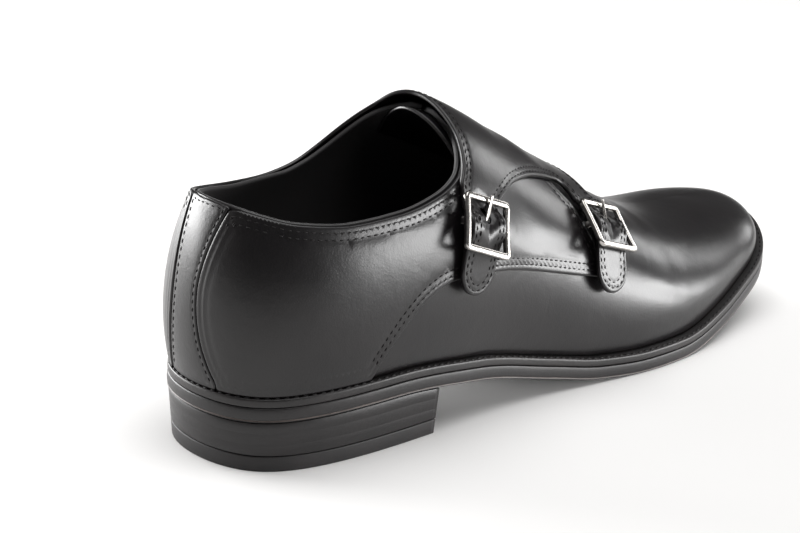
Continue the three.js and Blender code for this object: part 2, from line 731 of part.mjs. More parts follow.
// ---------------------------------------------------------------- the finished group
const finishes = {
  leather: { color: 0x1a181a, roughness: 0.32, metalness: 0 },
  edge: { color: 0x1c1a1b, roughness: 0.4, metalness: 0 },
  lining: { color: 0x141316, roughness: 0.6, metalness: 0 },
  rubber: { color: 0x1e1c1d, roughness: 0.55, metalness: 0 },
  metal: { color: 0xd9d4ce, roughness: 0.18, metalness: 1 },
};

const shoe = new THREE.Group();

function add(name, finish, body) {
  const mesh = body.getMesh();
  const geometry = new THREE.BufferGeometry();
  geometry.setAttribute("position", new THREE.BufferAttribute(mesh.vertProperties, 3));
  geometry.setIndex(new THREE.BufferAttribute(mesh.triVerts, 1));
  geometry.computeVertexNormals();
  const part = new THREE.Mesh(geometry, new THREE.MeshStandardMaterial(finishes[finish]));
  part.name = name;
  shoe.add(part);
}

add("upper", "leather", upper);
add("lateral_quarter", "leather", lateralQuarter);
add("medial_quarter_strap", "leather", strap);
add("back_stay", "leather", backStay);
add("tongue", "leather", tongue);
add("welt", "edge", welt);
add("outsole", "edge", outsole);
add("insole", "lining", insole);
add("heel_stack", "edge", heelStack);
add("heel_lift", "rubber", heelLift);
for (const row of BUCKLES) {
  add("buckle_frame_" + row.name, "metal", frameSolid(row));
  add("buckle_prong_" + row.name, "metal", prongSolid(row));
  add("buckle_tab_" + row.name, "leather", tabSolid(row));
}

// Centre the group over the floor, with the sole's lowest plane at zero.
const box = new THREE.Box3().setFromObject(shoe);
const middle = box.getCenter(new THREE.Vector3());
for (const part of shoe.children) part.geometry.translate(-middle.x, -middle.y, -box.min.z);

export default shoe;
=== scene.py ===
import math

import bmesh
import bpy
import numpy as np
from mathutils import Matrix, Vector
from mathutils.geometry import delaunay_2d_cdt
from mathutils.kdtree import KDTree


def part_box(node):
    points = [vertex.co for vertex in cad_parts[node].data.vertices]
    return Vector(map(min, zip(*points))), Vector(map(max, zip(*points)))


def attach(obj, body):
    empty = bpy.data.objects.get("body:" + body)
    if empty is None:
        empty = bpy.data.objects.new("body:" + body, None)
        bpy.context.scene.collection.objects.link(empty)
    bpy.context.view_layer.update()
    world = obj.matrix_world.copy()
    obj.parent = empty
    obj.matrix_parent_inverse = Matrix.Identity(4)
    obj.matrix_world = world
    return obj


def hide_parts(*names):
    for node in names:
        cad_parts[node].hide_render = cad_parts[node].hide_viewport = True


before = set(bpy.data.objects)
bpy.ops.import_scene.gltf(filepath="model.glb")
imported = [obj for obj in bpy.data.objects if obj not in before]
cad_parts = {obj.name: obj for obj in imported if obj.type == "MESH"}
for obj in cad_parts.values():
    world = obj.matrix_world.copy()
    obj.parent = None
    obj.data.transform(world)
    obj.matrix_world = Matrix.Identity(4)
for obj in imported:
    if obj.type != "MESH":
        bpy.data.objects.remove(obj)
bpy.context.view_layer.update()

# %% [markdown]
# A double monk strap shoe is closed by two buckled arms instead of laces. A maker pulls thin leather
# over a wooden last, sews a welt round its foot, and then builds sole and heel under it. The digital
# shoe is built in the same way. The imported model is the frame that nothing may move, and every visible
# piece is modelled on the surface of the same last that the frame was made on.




def new_object(name, data):
    """An object with this data, in the scene."""
    made = bpy.data.objects.new(name, data)
    bpy.context.scene.collection.objects.link(made)
    return made


def turned(x, y, z, place):
    """The matrix of an object with these three directions as its own axes."""
    return Matrix([[x[i], y[i], z[i], place[i]] for i in range(3)] + [[0, 0, 0, 1]])


# %% [markdown]
# The last decides everything. It is a table of sections, each with a foot on the feather line, where
# the upper turns under, and a top on the ridge of instep and toe. A spline runs through each column,
# so a few rows give a smooth body. A sculpted mesh would be quicker to start and harder to measure.

# %% the last as a table of sections, in millimetres
SECTIONS = [
    # name, y, outer, inner, ridge x, ridge y, ridge z, low swell outer and inner, high swell
    ("heel back", 4, 0, 0, 0, 24, 113, 5, 5, -3.5, -3.5),
    ("heel turn", 7.5, 16, -16, 0, 26.5, 113, 4.5, 5, -2.5, -3),
    ("heel curve", 19, 26.5, -26.5, -0.5, 34, 113, 4, 4.5, -1, -1.5),
    ("heel side", 40, 32, -30.5, -0.5, 47, 113.5, 4, 4, 0, 0),
    ("seat front", 66, 34, -30, -1, 67, 113.5, 4.5, 4, 1, 1),
    ("rear waist", 92, 34, -27, -1.5, 92, 111, 5, 5, 2, 2),
    ("waist", 118, 33.5, -25.5, -2, 118, 99.5, 5, 6, 2, 2),
    ("front waist", 144, 35, -27.5, -3, 144, 85, 5, 6, 1.5, 1.5),
    ("rear joint", 168, 38, -34, -4, 168, 72, 4, 4, 0.5, 0.5),
    ("joint", 192, 41, -40.5, -5, 191, 61, 3, 3, 0, 0.5),
    ("ball", 214, 40.5, -44, -6, 211, 51.5, 3, 3, 0.5, 1),
    ("toe root", 236, 37, -43.5, -6, 230, 45, 3, 3, 1, 1),
    ("toe box", 258, 31, -39, -6, 246, 42.5, 3, 3, 1.5, 1.5),
    ("toe side", 277, 24, -31.5, -6, 257, 42, 3, 3, 2, 2),
    ("toe curve", 291, 10.5, -20.5, -6, 264, 41.5, 3, 3, 2, 2),
    ("toe tip", 297, -6, -6, -6, 266.5, 41.5, 3, 3, 2, 2),
]
TIP = len(SECTIONS) - 1
AROUND = 2 * TIP
# How far the sole stands out from the feather line, by section; then heights by y.
EDGE = [4.6, 4.6, 4.6, 4.6, 4.6, 4.8, 5, 5.4, 5.8, 6, 6.2, 6.4, 6.6, 6.8, 7, 7]
BED = [(-10, 26.6), (0, 27), (60, 28), (100, 24), (140, 15), (165, 10), (188, 8.5), (210, 8.5),
       (240, 13.5), (270, 21.5), (310, 36)]
THROAT_Y = 106
COLLAR = [(-5, 94), (8, 90), (22, 86), (42, 83.8), (62, 84.5), (80, 87.5), (92, 92), (99, 99),
          (103, 106), (THROAT_Y, 114), (THROAT_Y + 3, 130)]
COLLAR_INNER = [(-5, 94), (8, 90), (22, 86), (42, 83), (62, 83.5), (71, 86), (79, 90.5), (87, 97),
                (94, 103.5), (101, 108.5), (THROAT_Y, 114), (THROAT_Y + 3, 130)]
print("sections:", TIP + 1)

# %% curves through the columns
def closed_spline(values):
    """A smooth closed curve through values that stand one station apart."""
    values = np.array(values, float)
    count = len(values)
    system = 4 * np.eye(count) + np.roll(np.eye(count), 1, 0) + np.roll(np.eye(count), -1, 0)
    bend = np.linalg.solve(system, 6 * (np.roll(values, -1) - 2 * values + np.roll(values, 1)))

    def curve(p):
        p = np.asarray(p, float)
        i = np.floor(p).astype(int)
        f = p - i
        g = 1 - f
        here, there = i % count, (i + 1) % count
        straight = g * values[here] + f * values[there]
        return straight + ((g**3 - g) * bend[here] + (f**3 - f) * bend[there]) / 6

    return curve


def eased(f, a, b, leaving, arriving):
    """From a to b at share f of the way, with the given rises at both ends."""
    rise = b - a
    square, cube = 3 * rise - 2 * leaving - arriving, leaving + arriving - 2 * rise
    return a + f * leaving + f * f * square + f**3 * cube


def table_curve(rows):
    """A smooth monotone curve through (x, value) rows."""
    x = np.array([row[0] for row in rows], float)
    v = np.array([row[1] for row in rows], float)
    slope = np.diff(v) / np.diff(x)
    product = slope[:-1] * slope[1:]
    middle = np.where(product > 0, 2 * product / np.where(product > 0, slope[:-1] + slope[1:], 1), 0)
    tangent = np.concatenate([slope[:1], middle, slope[-1:]])

    def curve(at):
        at = np.asarray(at, float)
        i = np.clip(np.searchsorted(x, at) - 1, 0, len(x) - 2)
        width = x[i + 1] - x[i]
        f = np.clip((at - x[i]) / width, 0, 1)
        return eased(f, v[i], v[i + 1], tangent[i] * width, tangent[i + 1] * width)

    return curve


def both_sides(outer_column, inner_column=None):
    """One closed list: outer side from heel to toe, then inner side from toe to heel."""
    inner_column = outer_column if inner_column is None else inner_column
    outer = [row[outer_column] for row in SECTIONS]
    inner = [row[inner_column] for row in SECTIONS[1:TIP]]
    return closed_spline(outer + inner[::-1])


feather_x, feather_y = both_sides(2, 3), both_sides(1)
ridge_x, ridge_y, ridge_z = both_sides(4), both_sides(5), both_sides(6)
low_swell, high_swell = both_sides(7, 8), both_sides(9, 10)
edge_out = closed_spline(EDGE + EDGE[1:TIP][::-1])
bed, collar_z, collar_inner_z = table_curve(BED), table_curve(COLLAR), table_curve(COLLAR_INNER)

# %% [markdown]
# A point on the last has two coordinates: the station p, counted round the shoe from the middle of the
# heel, and the rise t from the feather line, 0, to the ridge, 1. Leather has thickness, so a third
# number says how far a layer lies above the last. Panels that cross the instep use another pair: the
# station s and the wrap w, which runs on from 1 at the ridge to 2 at the inner feather line.

# %% points and directions on the last
def last_point(p, t):
    """A point of the last itself."""
    p, t = np.broadcast_arrays(np.asarray(p, float), np.asarray(t, float))
    x0, y0 = feather_x(p), feather_y(p)
    z0 = bed(y0)
    in_x, in_y = ridge_x(p) - x0, ridge_y(p) - y0
    swell = 6.75 * t * (1 - t) * ((1 - t) * low_swell(p) + t * high_swell(p))
    share = 1 - np.cos(t * np.pi / 2) - swell / np.hypot(in_x, in_y)
    z = z0 + (ridge_z(p) - z0) * np.sin(t * np.pi / 2)
    return np.stack([x0 + in_x * share, y0 + in_y * share, z], -1)


def unit(vectors):
    """The same directions with length 1."""
    return vectors / np.maximum(np.linalg.norm(vectors, axis=-1, keepdims=True), 1e-12)


def last_normal(p, t):
    """The outward direction at a point of the last."""
    step = 0.01
    p, t = np.broadcast_arrays(np.asarray(p, float), np.asarray(t, float))
    inside = np.clip(t, step, 1 - step)
    along = last_point(p + step, inside) - last_point(p - step, inside)
    up = last_point(p, inside + step) - last_point(p, inside - step)
    out = unit(np.cross(along, up))
    out[..., 0] = np.where(t > 1 - step, 0, out[..., 0])
    return unit(out)


def on_last(p, t, by=0.0):
    """A point this many millimetres above the last."""
    by = np.asarray(by, float)
    return last_point(p, t) + last_normal(p, t) * (by[..., None] if by.ndim else by)


def wrap_to_rise(s, w):
    """From station and wrap to the chart of p and t."""
    return np.where(w <= 1, s, AROUND - s), np.where(w <= 1, w, 2 - w)


def wrapped(s, w, by=0.0):
    """A point above the last, by station and wrap."""
    s, w = np.broadcast_arrays(np.asarray(s, float), np.asarray(w, float))
    return on_last(*wrap_to_rise(s, w), by)


def station_of(y):
    """The station whose ridge point lies at y."""
    table = np.linspace(0, TIP, 3001)
    return np.interp(y, ridge_y(table), table)


def outline(p, out):
    """The feather line seen from above, pushed outwards."""
    step = 0.01
    dx = feather_x(p + step) - feather_x(p - step)
    dy = feather_y(p + step) - feather_y(p - step)
    length = np.hypot(dx, dy)
    return feather_x(p) + dy / length * out, feather_y(p) - dx / length * out


# %% where the design sits in the frame
AROUND_FINE = np.linspace(0, AROUND, 1201)
edge_x, edge_y = outline(AROUND_FINE, edge_out(AROUND_FINE))
sole_low, sole_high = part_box("outsole")
SHIFT = np.array([
    (sole_low.x + sole_high.x) * 500 - (edge_x.min() + edge_x.max()) / 2,
    (sole_low.y + sole_high.y) * 500 - (edge_y.min() + edge_y.max()) / 2,
    0.0,
])
print("shift in millimetres:", SHIFT.round(2))


def to_scene(points):
    """Millimetres of the design to metres of the frame."""
    return (np.asarray(points, float) + SHIFT) / 1000


# %% [markdown]
# The camera comes before the pieces, so that each one can be judged in the final view. It stands at
# the outer rear corner of the shoe, a little above the buckles, with a long lens that keeps the heel
# and the toe in proportion.

# %% camera
CAMERA_TURN = math.radians(44.4)
CAMERA_RISE = math.radians(19.3)
CAMERA_ROLL = math.radians(3.15)
CAMERA_AWAY = 788.7
CAMERA_AIM = np.array([0, 95.85, 49.0])
FOCAL = 97.35

back = np.array([
    math.sin(CAMERA_TURN) * math.cos(CAMERA_RISE),
    -math.cos(CAMERA_TURN) * math.cos(CAMERA_RISE),
    math.sin(CAMERA_RISE),
])
level = np.array([math.cos(CAMERA_TURN), math.sin(CAMERA_TURN), 0])
upright = np.cross(back, level)
right = level * math.cos(CAMERA_ROLL) + upright * math.sin(CAMERA_ROLL)
up = upright * math.cos(CAMERA_ROLL) - level * math.sin(CAMERA_ROLL)

camera_data = bpy.data.cameras.new("camera")
camera_data.lens = FOCAL
camera_data.sensor_width = 36
camera = new_object("camera", camera_data)
place = to_scene(CAMERA_AIM + back * CAMERA_AWAY)
camera.matrix_world = turned(right, up, back, place)
bpy.context.scene.camera = camera
print("camera at", place.round(3))

# %% [markdown]
# A studio sets black shoes on a pale sweep under large soft lights, since polished leather shows
# mostly what it reflects. One wide light hangs overhead, a long low one beyond the toe draws the bright
# band along the outer side, and one on the inner side lights the back strip. A faint one rounds off the
# toe. The pale world gives every dark surface a soft grey edge.

# %% studio light
def to_linear(hex_colour):
    """An sRGB hex colour as the linear RGBA that shaders use."""
    parts = [int(hex_colour[i:i + 2], 16) / 255 for i in (0, 2, 4)]
    return [c / 12.92 if c <= 0.04045 else ((c + 0.055) / 1.055) ** 2.4 for c in parts] + [1]


def soft_light(name, place, aim, size, watts):
    """A rectangular softbox at a place in metres, turned towards its aim."""
    data = bpy.data.lights.new(name, "AREA")
    data.shape = "RECTANGLE"
    data.size, data.size_y = size
    data.energy = watts
    z = unit(np.array(place, float) - np.array(aim, float))
    x = unit(np.cross([0, 0, 1], z))
    new_object(name, data).matrix_world = turned(x, np.cross(z, x), z, place)


world = bpy.data.worlds.new("studio")
bpy.context.scene.world = world
world.use_nodes = True
world.node_tree.nodes["Background"].inputs["Color"].default_value = to_linear("fbfaf9")
world.node_tree.nodes["Background"].inputs["Strength"].default_value = 0.12

soft_light("overhead softbox", (0.1, 0.1, 1.5), (0, 0, 0), (1.6, 1.6), 24)
soft_light("toe-side softbox", (0.98, 0.92, 0.15), (0, 0, 0.06), (1.0, 0.28), 18)
soft_light("heel softbox", (-0.95, -0.4, 0.24), (0, -0.1, 0.06), (0.9, 0.42), 20)
soft_light("far toe softbox", (0.1, 1.35, 0.4), (0, 0.1, 0.04), (0.4, 0.35), 2.5)
bpy.context.scene.view_settings.view_transform = "Standard"

# %% [markdown]
# Each piece of leather is cut flat and pulled over the last. Here it is cut in the same way: an
# outline in the coordinates of the last is filled with a fine net, the net is laid on the last at the
# height of its layer, and its edge is rounded as a knife and a hot iron leave it. Rows of points follow
# the edge, so that edge, stitching groove and middle can have different heights.

# %% lines, and what lies inside them
CHART = np.array([22.0, 80.0])  # millimetres for one station and for one rise, near enough
NET = 2.1  # distance between points in the middle of a panel
COARSER_FROM = 2  # from this depth a ring has every other point of the edge
ROW_RISE = 0.866  # distance between rows of a net of even triangles
RINGS = [0, 0.12, 0.35, 0.7, 1.2, 1.7, 2.2, 2.7, 3.4, 4.2, 5.2]


def inside(points, loops):
    """Which points lie inside an odd number of loops."""
    odd = np.zeros(len(points), bool)
    for loop in loops:
        a, b = loop, np.roll(loop, -1, 0)
        for start in range(0, len(points), 2000):
            part = points[start:start + 2000]
            crosses = (a[None, :, 1] > part[:, None, 1]) != (b[None, :, 1] > part[:, None, 1])
            drop = np.where(b[:, 1] == a[:, 1], 1e-12, b[:, 1] - a[:, 1])
            at = a[:, 0] + (part[:, None, 1] - a[:, 1]) * (b[:, 0] - a[:, 0]) / drop
            odd[start:start + 2000] ^= (np.sum(crosses & (part[:, None, 0] < at), 1) % 2).astype(bool)
    return odd


def along(points, closed=False):
    """Running length at each point of a line."""
    steps = np.diff(np.vstack([points, points[:1]]) if closed else points, axis=0)
    return np.concatenate([[0], np.cumsum(np.linalg.norm(steps, axis=1))])


def sampled(at, run, line):
    """Points of a line at the given running lengths."""
    return np.stack([np.interp(at, run, column) for column in line.T], 1)


def even(line, surface, spacing, closed=False):
    """The same line with points one spacing apart, measured over the surface."""
    line = np.asarray(line, float)
    if closed:
        line = np.vstack([line, line[:1]])
    length = along(surface(*line.T))
    count = max(2, int(round(length[-1] / spacing)) + 1)
    spread = sampled(np.linspace(0, length[-1], count), length, line)
    return spread[:-1] if closed else spread


def softened(loop, reach):
    """A closed loop with its corners rounded by averaging over a few points."""
    offsets = np.arange(-math.ceil(3 * reach), math.ceil(3 * reach) + 1)
    weights = np.exp(-0.5 * (offsets / reach) ** 2)
    weights /= weights.sum()
    return sum(w * np.roll(loop, -int(o), 0) for w, o in zip(weights, offsets))


def smooth_line(points, spacing=1.0):
    """A smooth curve through a few points of the plane."""
    points = np.asarray(points, float)
    knots = along(points)
    count = max(2, int(knots[-1] / spacing))
    tangents = np.gradient(points, knots, axis=0)
    at = np.linspace(0, knots[-1], count + 1)
    i = np.clip(np.searchsorted(knots, at) - 1, 0, len(points) - 2)
    width = (knots[i + 1] - knots[i])[:, None]
    f = (at[:, None] - knots[i][:, None]) / width
    return eased(f, points[i], points[i + 1], tangents[i] * width, tangents[i + 1] * width)


# %% places on a layer over the last
def find_on_last(points, axes, stations, by, rises=(0.0, 1.0)):
    """Stations and rises where a layer over the last has two coordinates, such as y and z."""
    points = np.asarray(points, float)
    p_grid, t_grid = np.meshgrid(np.linspace(*stations, 160), np.linspace(*rises, 80), indexing="ij")
    grid = on_last(p_grid, t_grid, by)[..., axes].reshape(-1, 2)
    p = np.empty(len(points))
    t = np.empty(len(points))
    for k, point in enumerate(points):
        near = np.argmin(np.sum((grid - point) ** 2, 1))
        p[k], t[k] = p_grid.flat[near], t_grid.flat[near]
    step = 1e-4
    for _ in range(6):
        here = on_last(p, t, by)[:, axes]
        dp = (on_last(p + step, t, by)[:, axes] - here) / step
        dt = (on_last(p, t + step, by)[:, axes] - here) / step
        miss = points - here
        det = dp[:, 0] * dt[:, 1] - dp[:, 1] * dt[:, 0]
        det = np.where(np.abs(det) < 1e-3, 1e-3, det)
        p = p + np.clip((miss[:, 0] * dt[:, 1] - miss[:, 1] * dt[:, 0]) / det, -0.15, 0.15)
        t = np.clip(t + np.clip((dp[:, 0] * miss[:, 1] - dp[:, 1] * miss[:, 0]) / det, -0.03, 0.03), *rises)
    return np.stack([p, t], 1)


def tangents_of(surface, at):
    """Directions over the surface along both of its coordinates."""
    step = 1e-3
    a, b = at.T
    da = (surface(a + step, b) - surface(a - step, b)) / (2 * step)
    db = (surface(a, b + step) - surface(a, b - step)) / (2 * step)
    return da, db


def stepped_in(surface, loop, depth):
    """A closed loop moved inwards over the surface by a depth in millimetres."""
    space = surface(*loop.T)
    run = unit(np.roll(space, -1, 0) - np.roll(space, 1, 0))
    da, db = tangents_of(surface, loop)
    out = unit(np.cross(da, db))
    nxt = np.roll(loop, -1, 0)
    turn = np.sign(np.sum(loop[:, 0] * nxt[:, 1] - loop[:, 1] * nxt[:, 0]))
    inward = turn * np.cross(out, run)
    aa, ab, bb = (np.sum(u * v, 1) for u, v in ((da, da), (da, db), (db, db)))
    ra, rb = np.sum(da * inward, 1), np.sum(db * inward, 1)
    det = aa * bb - ab * ab
    return loop + depth * np.stack([(bb * ra - ab * rb) / det, (aa * rb - ab * ra) / det], 1)


# %% outlines and nets
def open_edges(triangles):
    """The directed edges that only one triangle has, in order."""
    found = {}
    for a, b, c in triangles:
        for edge in ((a, b), (b, c), (c, a)):
            if edge[::-1] in found:
                del found[edge[::-1]]
            else:
                found[edge] = True
    return list(found)


def joined_outline(polygons, surface, spacing=1.0):
    """The outline round several overlapping cut shapes, as one loop."""
    points, faces = [], []
    for polygon in polygons:
        faces.append(list(range(len(points), len(points) + len(polygon))))
        points += [Vector(xy) for xy in polygon * CHART]
    corners, _, triangles, _, _, _ = delaunay_2d_cdt(points, [], faces, 0, 1e-6)
    corners = np.array([list(c) for c in corners])
    triangles = np.array([list(t) for t in triangles])
    middles = corners[triangles].mean(1)
    kept = np.zeros(len(middles), bool)
    for polygon in polygons:
        kept |= inside(middles, [polygon * CHART])
    following = dict(open_edges(triangles[kept]))
    best = []
    while following:
        start, end = following.popitem()
        loop = [start]
        while end != start and end in following:
            loop.append(end)
            end = following.pop(end)
        if len(loop) > len(best):
            best = loop
    return even(corners[best] / CHART, surface, spacing, closed=True)


def gaps_to(surface, loops, at):
    """Distance over the surface from points to the nearest edge."""
    edges = np.vstack([surface(*even(loop, surface, 0.3, closed=True).T) for loop in loops])
    tree = KDTree(len(edges))
    for i, edge in enumerate(edges):
        tree.insert(edge, i)
    tree.balance()
    return np.array([tree.find(point)[2] for point in surface(*at.T)])


def net_over(surface, loops, spacing=1.15):
    """A net of triangles inside the loops: chart points, distance to the edge and triangles."""
    loops = [even(loop, surface, spacing, closed=True) for loop in loops]
    points = list(loops)
    gaps = [np.zeros(len(loop)) for loop in loops]
    for depth in RINGS[1:]:
        ring = stepped_in(surface, loops[0], depth)
        if depth > COARSER_FROM:
            ring = ring[::2]
        ring = ring[inside(ring * CHART, [loop * CHART for loop in loops])]
        true_gap = gaps_to(surface, loops, ring)
        fits = np.abs(true_gap - depth) < 0.12 + 0.05 * depth
        points.append(ring[fits])
        gaps.append(np.full(fits.sum(), depth))
    low, high = loops[0].min(0) * CHART, loops[0].max(0) * CHART
    grid_a, grid_b = np.meshgrid(np.arange(low[0], high[0], NET), np.arange(low[1], high[1], NET * ROW_RISE),
                                 indexing="ij")
    grid_a = grid_a + (np.arange(grid_a.shape[1]) % 2) * NET / 2
    grid = np.stack([grid_a.ravel(), grid_b.ravel()], 1)
    grid = grid[inside(grid, [loop * CHART for loop in loops])] / CHART
    gap = gaps_to(surface, loops, grid)
    far = gap > RINGS[-1] + 0.6
    points.append(grid[far])
    gaps.append(gap[far])
    points, gaps = np.vstack(points), np.concatenate(gaps)
    edges = []
    start = 0
    for loop in loops:
        edges += [(start + i, start + (i + 1) % len(loop)) for i in range(len(loop))]
        start += len(loop)
    found, _, triangles, origins, _, _ = delaunay_2d_cdt(
        [Vector(xy) for xy in points * CHART], edges, [], 0, 1e-7)
    source = np.array([origin[0] if origin else -1 for origin in origins])
    triangles = np.array([list(t) for t in triangles])
    triangles = source[triangles]
    triangles = triangles[(triangles >= 0).all(1)]
    middles = (points * CHART)[triangles].mean(1)
    return points, gaps, triangles[inside(middles, [loop * CHART for loop in loops])]


# %% from nets to leather
GROOVE = 0.2  # depth of the groove that a row of stitches lies in
GROOVE_WIDE = 0.34
FADE = 5.0  # creases fade out over this distance from the edge


def piece_from(name, points, faces, finishes, which=None):
    """A piece from points in design millimetres, riding on the shoe, shaded smooth."""
    mesh = bpy.data.meshes.new(name)
    mesh.from_pydata(to_scene(points).tolist(), [], [[int(i) for i in face] for face in faces])
    mesh.update()
    for finish in finishes:
        mesh.materials.append(finish)
    if which is not None:
        mesh.polygons.foreach_set("material_index", np.asarray(which, np.int32))
    mesh.polygons.foreach_set("use_smooth", np.ones(len(mesh.polygons), bool))
    piece = new_object(name, mesh)
    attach(piece, "root")
    return piece


def welded(piece, within, outwards=False):
    """Joins points that lie together and, if wished, drops flat faces and turns the rest outwards."""
    net = bmesh.new()
    net.from_mesh(piece.data)
    bmesh.ops.remove_doubles(net, verts=net.verts, dist=within)
    if outwards:
        bmesh.ops.dissolve_degenerate(net, edges=net.edges, dist=within)
        bmesh.ops.recalc_face_normals(net, faces=net.faces)
    net.to_mesh(piece.data)
    net.free()
    return piece


def rounded_edge(gap, thick, radius, groove_depth, rows):
    """Height of the upper face by distance from the edge: a rounded edge, then a groove at each row."""
    near = np.clip(gap, 0, radius)
    height = thick - (radius - np.sqrt(np.maximum(radius**2 - (radius - near) ** 2, 0)))
    for row in rows:
        height = height - groove_depth * np.exp(-(((gap - row) / GROOVE_WIDE) ** 2))
    return height


def leather_panel(name, surface, loops, lift, thick, finishes, rows=(), radius=0.55, relief=None):
    """A panel of leather with a rounded edge, laid over the last at the height of its layer."""
    points, gaps, triangles = net_over(surface, loops)
    a, b = points.T
    base = lift(a, b)
    height = rounded_edge(gaps, thick, radius, GROOVE, rows)
    if relief is not None:
        height = height + relief(surface(a, b)) * np.clip(gaps / FADE, 0, 1)
    top = surface(a, b, base + height)
    low = surface(a, b, base)
    first, second, third = triangles[0]
    facing = np.cross(low[second] - low[first], low[third] - low[first])
    outward = surface(a[first:first + 1], b[first:first + 1], np.ones(1))[0] - surface(a[first], b[first])
    if np.dot(facing, outward) < 0:
        triangles = triangles[:, ::-1]
    count = len(points)
    faces = triangles.tolist() + (triangles[:, ::-1] + count).tolist()
    walls = [[j, i, i + count, j + count] for i, j in open_edges(triangles)]
    return piece_from(name, np.vstack([top, low]), faces + walls, finishes)


# %% thread
def stitch_row(surface, loop, depth, lift, keep, length=2.0, pitch=2.75, half=0.27, closed=True):
    """Stitches in a row at a depth from an edge: their middles, directions and outward directions."""
    path = stepped_in(surface, even(loop, surface, 0.8, closed=True), depth) if closed else loop
    gap = gaps_to(surface, [loop], path) if closed else np.full(len(path), depth)
    path = path[np.abs(gap - depth) < 0.15 * depth + 0.12]
    space = surface(*path.T, lift(*path.T))
    run = along(space)
    at = np.arange(pitch / 2, run[-1], pitch)
    chart = sampled(at, run, path)
    middle = surface(*chart.T, lift(*chart.T))
    above = surface(*chart.T, lift(*chart.T) + 1.0)
    after, before = sampled(at + 0.3, run, space), sampled(at - 0.3, run, space)
    spread = np.linalg.norm(after - before, axis=1)
    good = keep(middle) & (spread < 0.9)  # no stitch where the path jumps
    return middle[good], unit(after - before)[good], unit(above - middle)[good], length, half


def thread_piece(name, rows, finish):
    """All the stitches of some rows as one piece; each is a short thread that dips into the leather."""
    turns = 6
    steps = np.array([-1, -0.82, -0.45, 0, 0.45, 0.82, 1])
    swell = np.array([0.35, 0.75, 0.97, 1.0, 0.97, 0.75, 0.35])
    dip = np.array([-0.42, -0.2, 0.0, 0.05, 0.0, -0.2, -0.42])
    points, faces = [], []
    for middle, ahead, out, length, half in rows:
        side = np.cross(ahead, out)
        for m, f, s, o in zip(middle, ahead, side, out):
            start = len(points)
            for k in range(len(steps)):
                centre = m + f * steps[k] * length / 2 + o * dip[k]
                for n in range(turns):
                    angle = 2 * math.pi * n / turns
                    points.append(centre + swell[k] * half * (s * math.cos(angle) + o * math.sin(angle)))
            for k in range(len(steps) - 1):
                for n in range(turns):
                    i, j = start + k * turns + n, start + k * turns + (n + 1) % turns
                    faces.append([i, i + turns, j + turns, j])
    return piece_from(name, np.array(points), faces, [finish])

# %% [markdown]
# The finishes. Box calf is dyed through, sealed and polished, so it is nearly black with a warm tone,
# has a very fine grain and a broad soft shine that varies where hands and brush have been. Edges of
# welt and sole are inked and ironed, smoother but duller. The lining is softer and matt, thread is
# waxed, and the buckles are polished nickel plate.

# %% node tools
def finish(name, settings=None):
    """A material whose Principled shader has the given settings."""
    material = bpy.data.materials.new(name)
    material.use_nodes = True
    shader = material.node_tree.nodes["Principled BSDF"]
    for socket, value in (settings or {}).items():
        shader.inputs[socket].default_value = value
    return material


def node(material, kind, settings=None, links=None, to=None):
    """Adds a node, sets its fields and sockets, links its inputs and leads its output onwards."""
    tree = material.node_tree
    made = tree.nodes.new(kind)
    for key, value in (settings or {}).items():
        if hasattr(made, key):
            setattr(made, key, value)
        else:
            made.inputs[key].default_value = value
    for key, source in (links or {}).items():
        tree.links.new(source, made.inputs[key])
    if to is not None:
        output, socket = to
        tree.links.new(made.outputs[output], tree.nodes["Principled BSDF"].inputs[socket])
    return made


def ramp(material, source, stops):
    """A colour ramp over a value, with (position, hex colour) stops."""
    made = node(material, "ShaderNodeValToRGB", links={"Fac": source})
    elements = made.color_ramp.elements
    while len(elements) < len(stops):
        elements.new(0.5)
    for element, (position, colour) in zip(elements, stops):
        element.position = position
        element.color = to_linear(colour)
    return made


def mottled(material, colours, shine, scale, detail):
    """Colour and roughness that vary together with one cloudy noise; returns noise and coordinates."""
    place = node(material, "ShaderNodeTexCoord").outputs["Object"]
    cloud = node(material, "ShaderNodeTexNoise", {"Scale": scale, "Detail": detail}, {"Vector": place})
    tint = ramp(material, cloud.outputs["Fac"], [(0.3, colours[0]), (0.7, colours[1])])
    links, shader = material.node_tree.links, material.node_tree.nodes["Principled BSDF"]
    links.new(tint.outputs["Color"], shader.inputs["Base Color"])
    node(material, "ShaderNodeMapRange", {"To Min": shine[0], "To Max": shine[1]},
         {"Value": cloud.outputs["Fac"]}, ("Result", "Roughness"))
    return cloud, place


def grained(material, colours, shine, grain_mm, grain_depth, cloud_mm, wrinkle_depth=0.0):
    """Leather: cloudy colour and shine, a fine grain and, if wished, shallow wrinkles."""
    cloud, place = mottled(material, colours, shine, 1000 / cloud_mm, 4.0)
    pores = node(material, "ShaderNodeTexVoronoi", {"Scale": 1000 / grain_mm}, {"Vector": place})
    skin = node(material, "ShaderNodeTexNoise", {"Scale": 2200 / grain_mm, "Detail": 3.0}, {"Vector": place})
    wave = node(material, "ShaderNodeTexNoise", {"Scale": 1000 / 9.0, "Detail": 5.0, "Distortion": 0.6},
                {"Vector": place})
    first = node(material, "ShaderNodeBump", {"Strength": 0.25, "Distance": wrinkle_depth / 1000},
                 {"Height": wave.outputs["Fac"]})
    second = node(material, "ShaderNodeBump", {"Strength": 0.35, "Distance": grain_depth / 1000},
                  {"Height": pores.outputs["Distance"], "Normal": first.outputs["Normal"]})
    node(material, "ShaderNodeBump", {"Strength": 0.3, "Distance": grain_depth / 1500},
         {"Height": skin.outputs["Fac"], "Normal": second.outputs["Normal"]}, ("Normal", "Normal"))
    return material


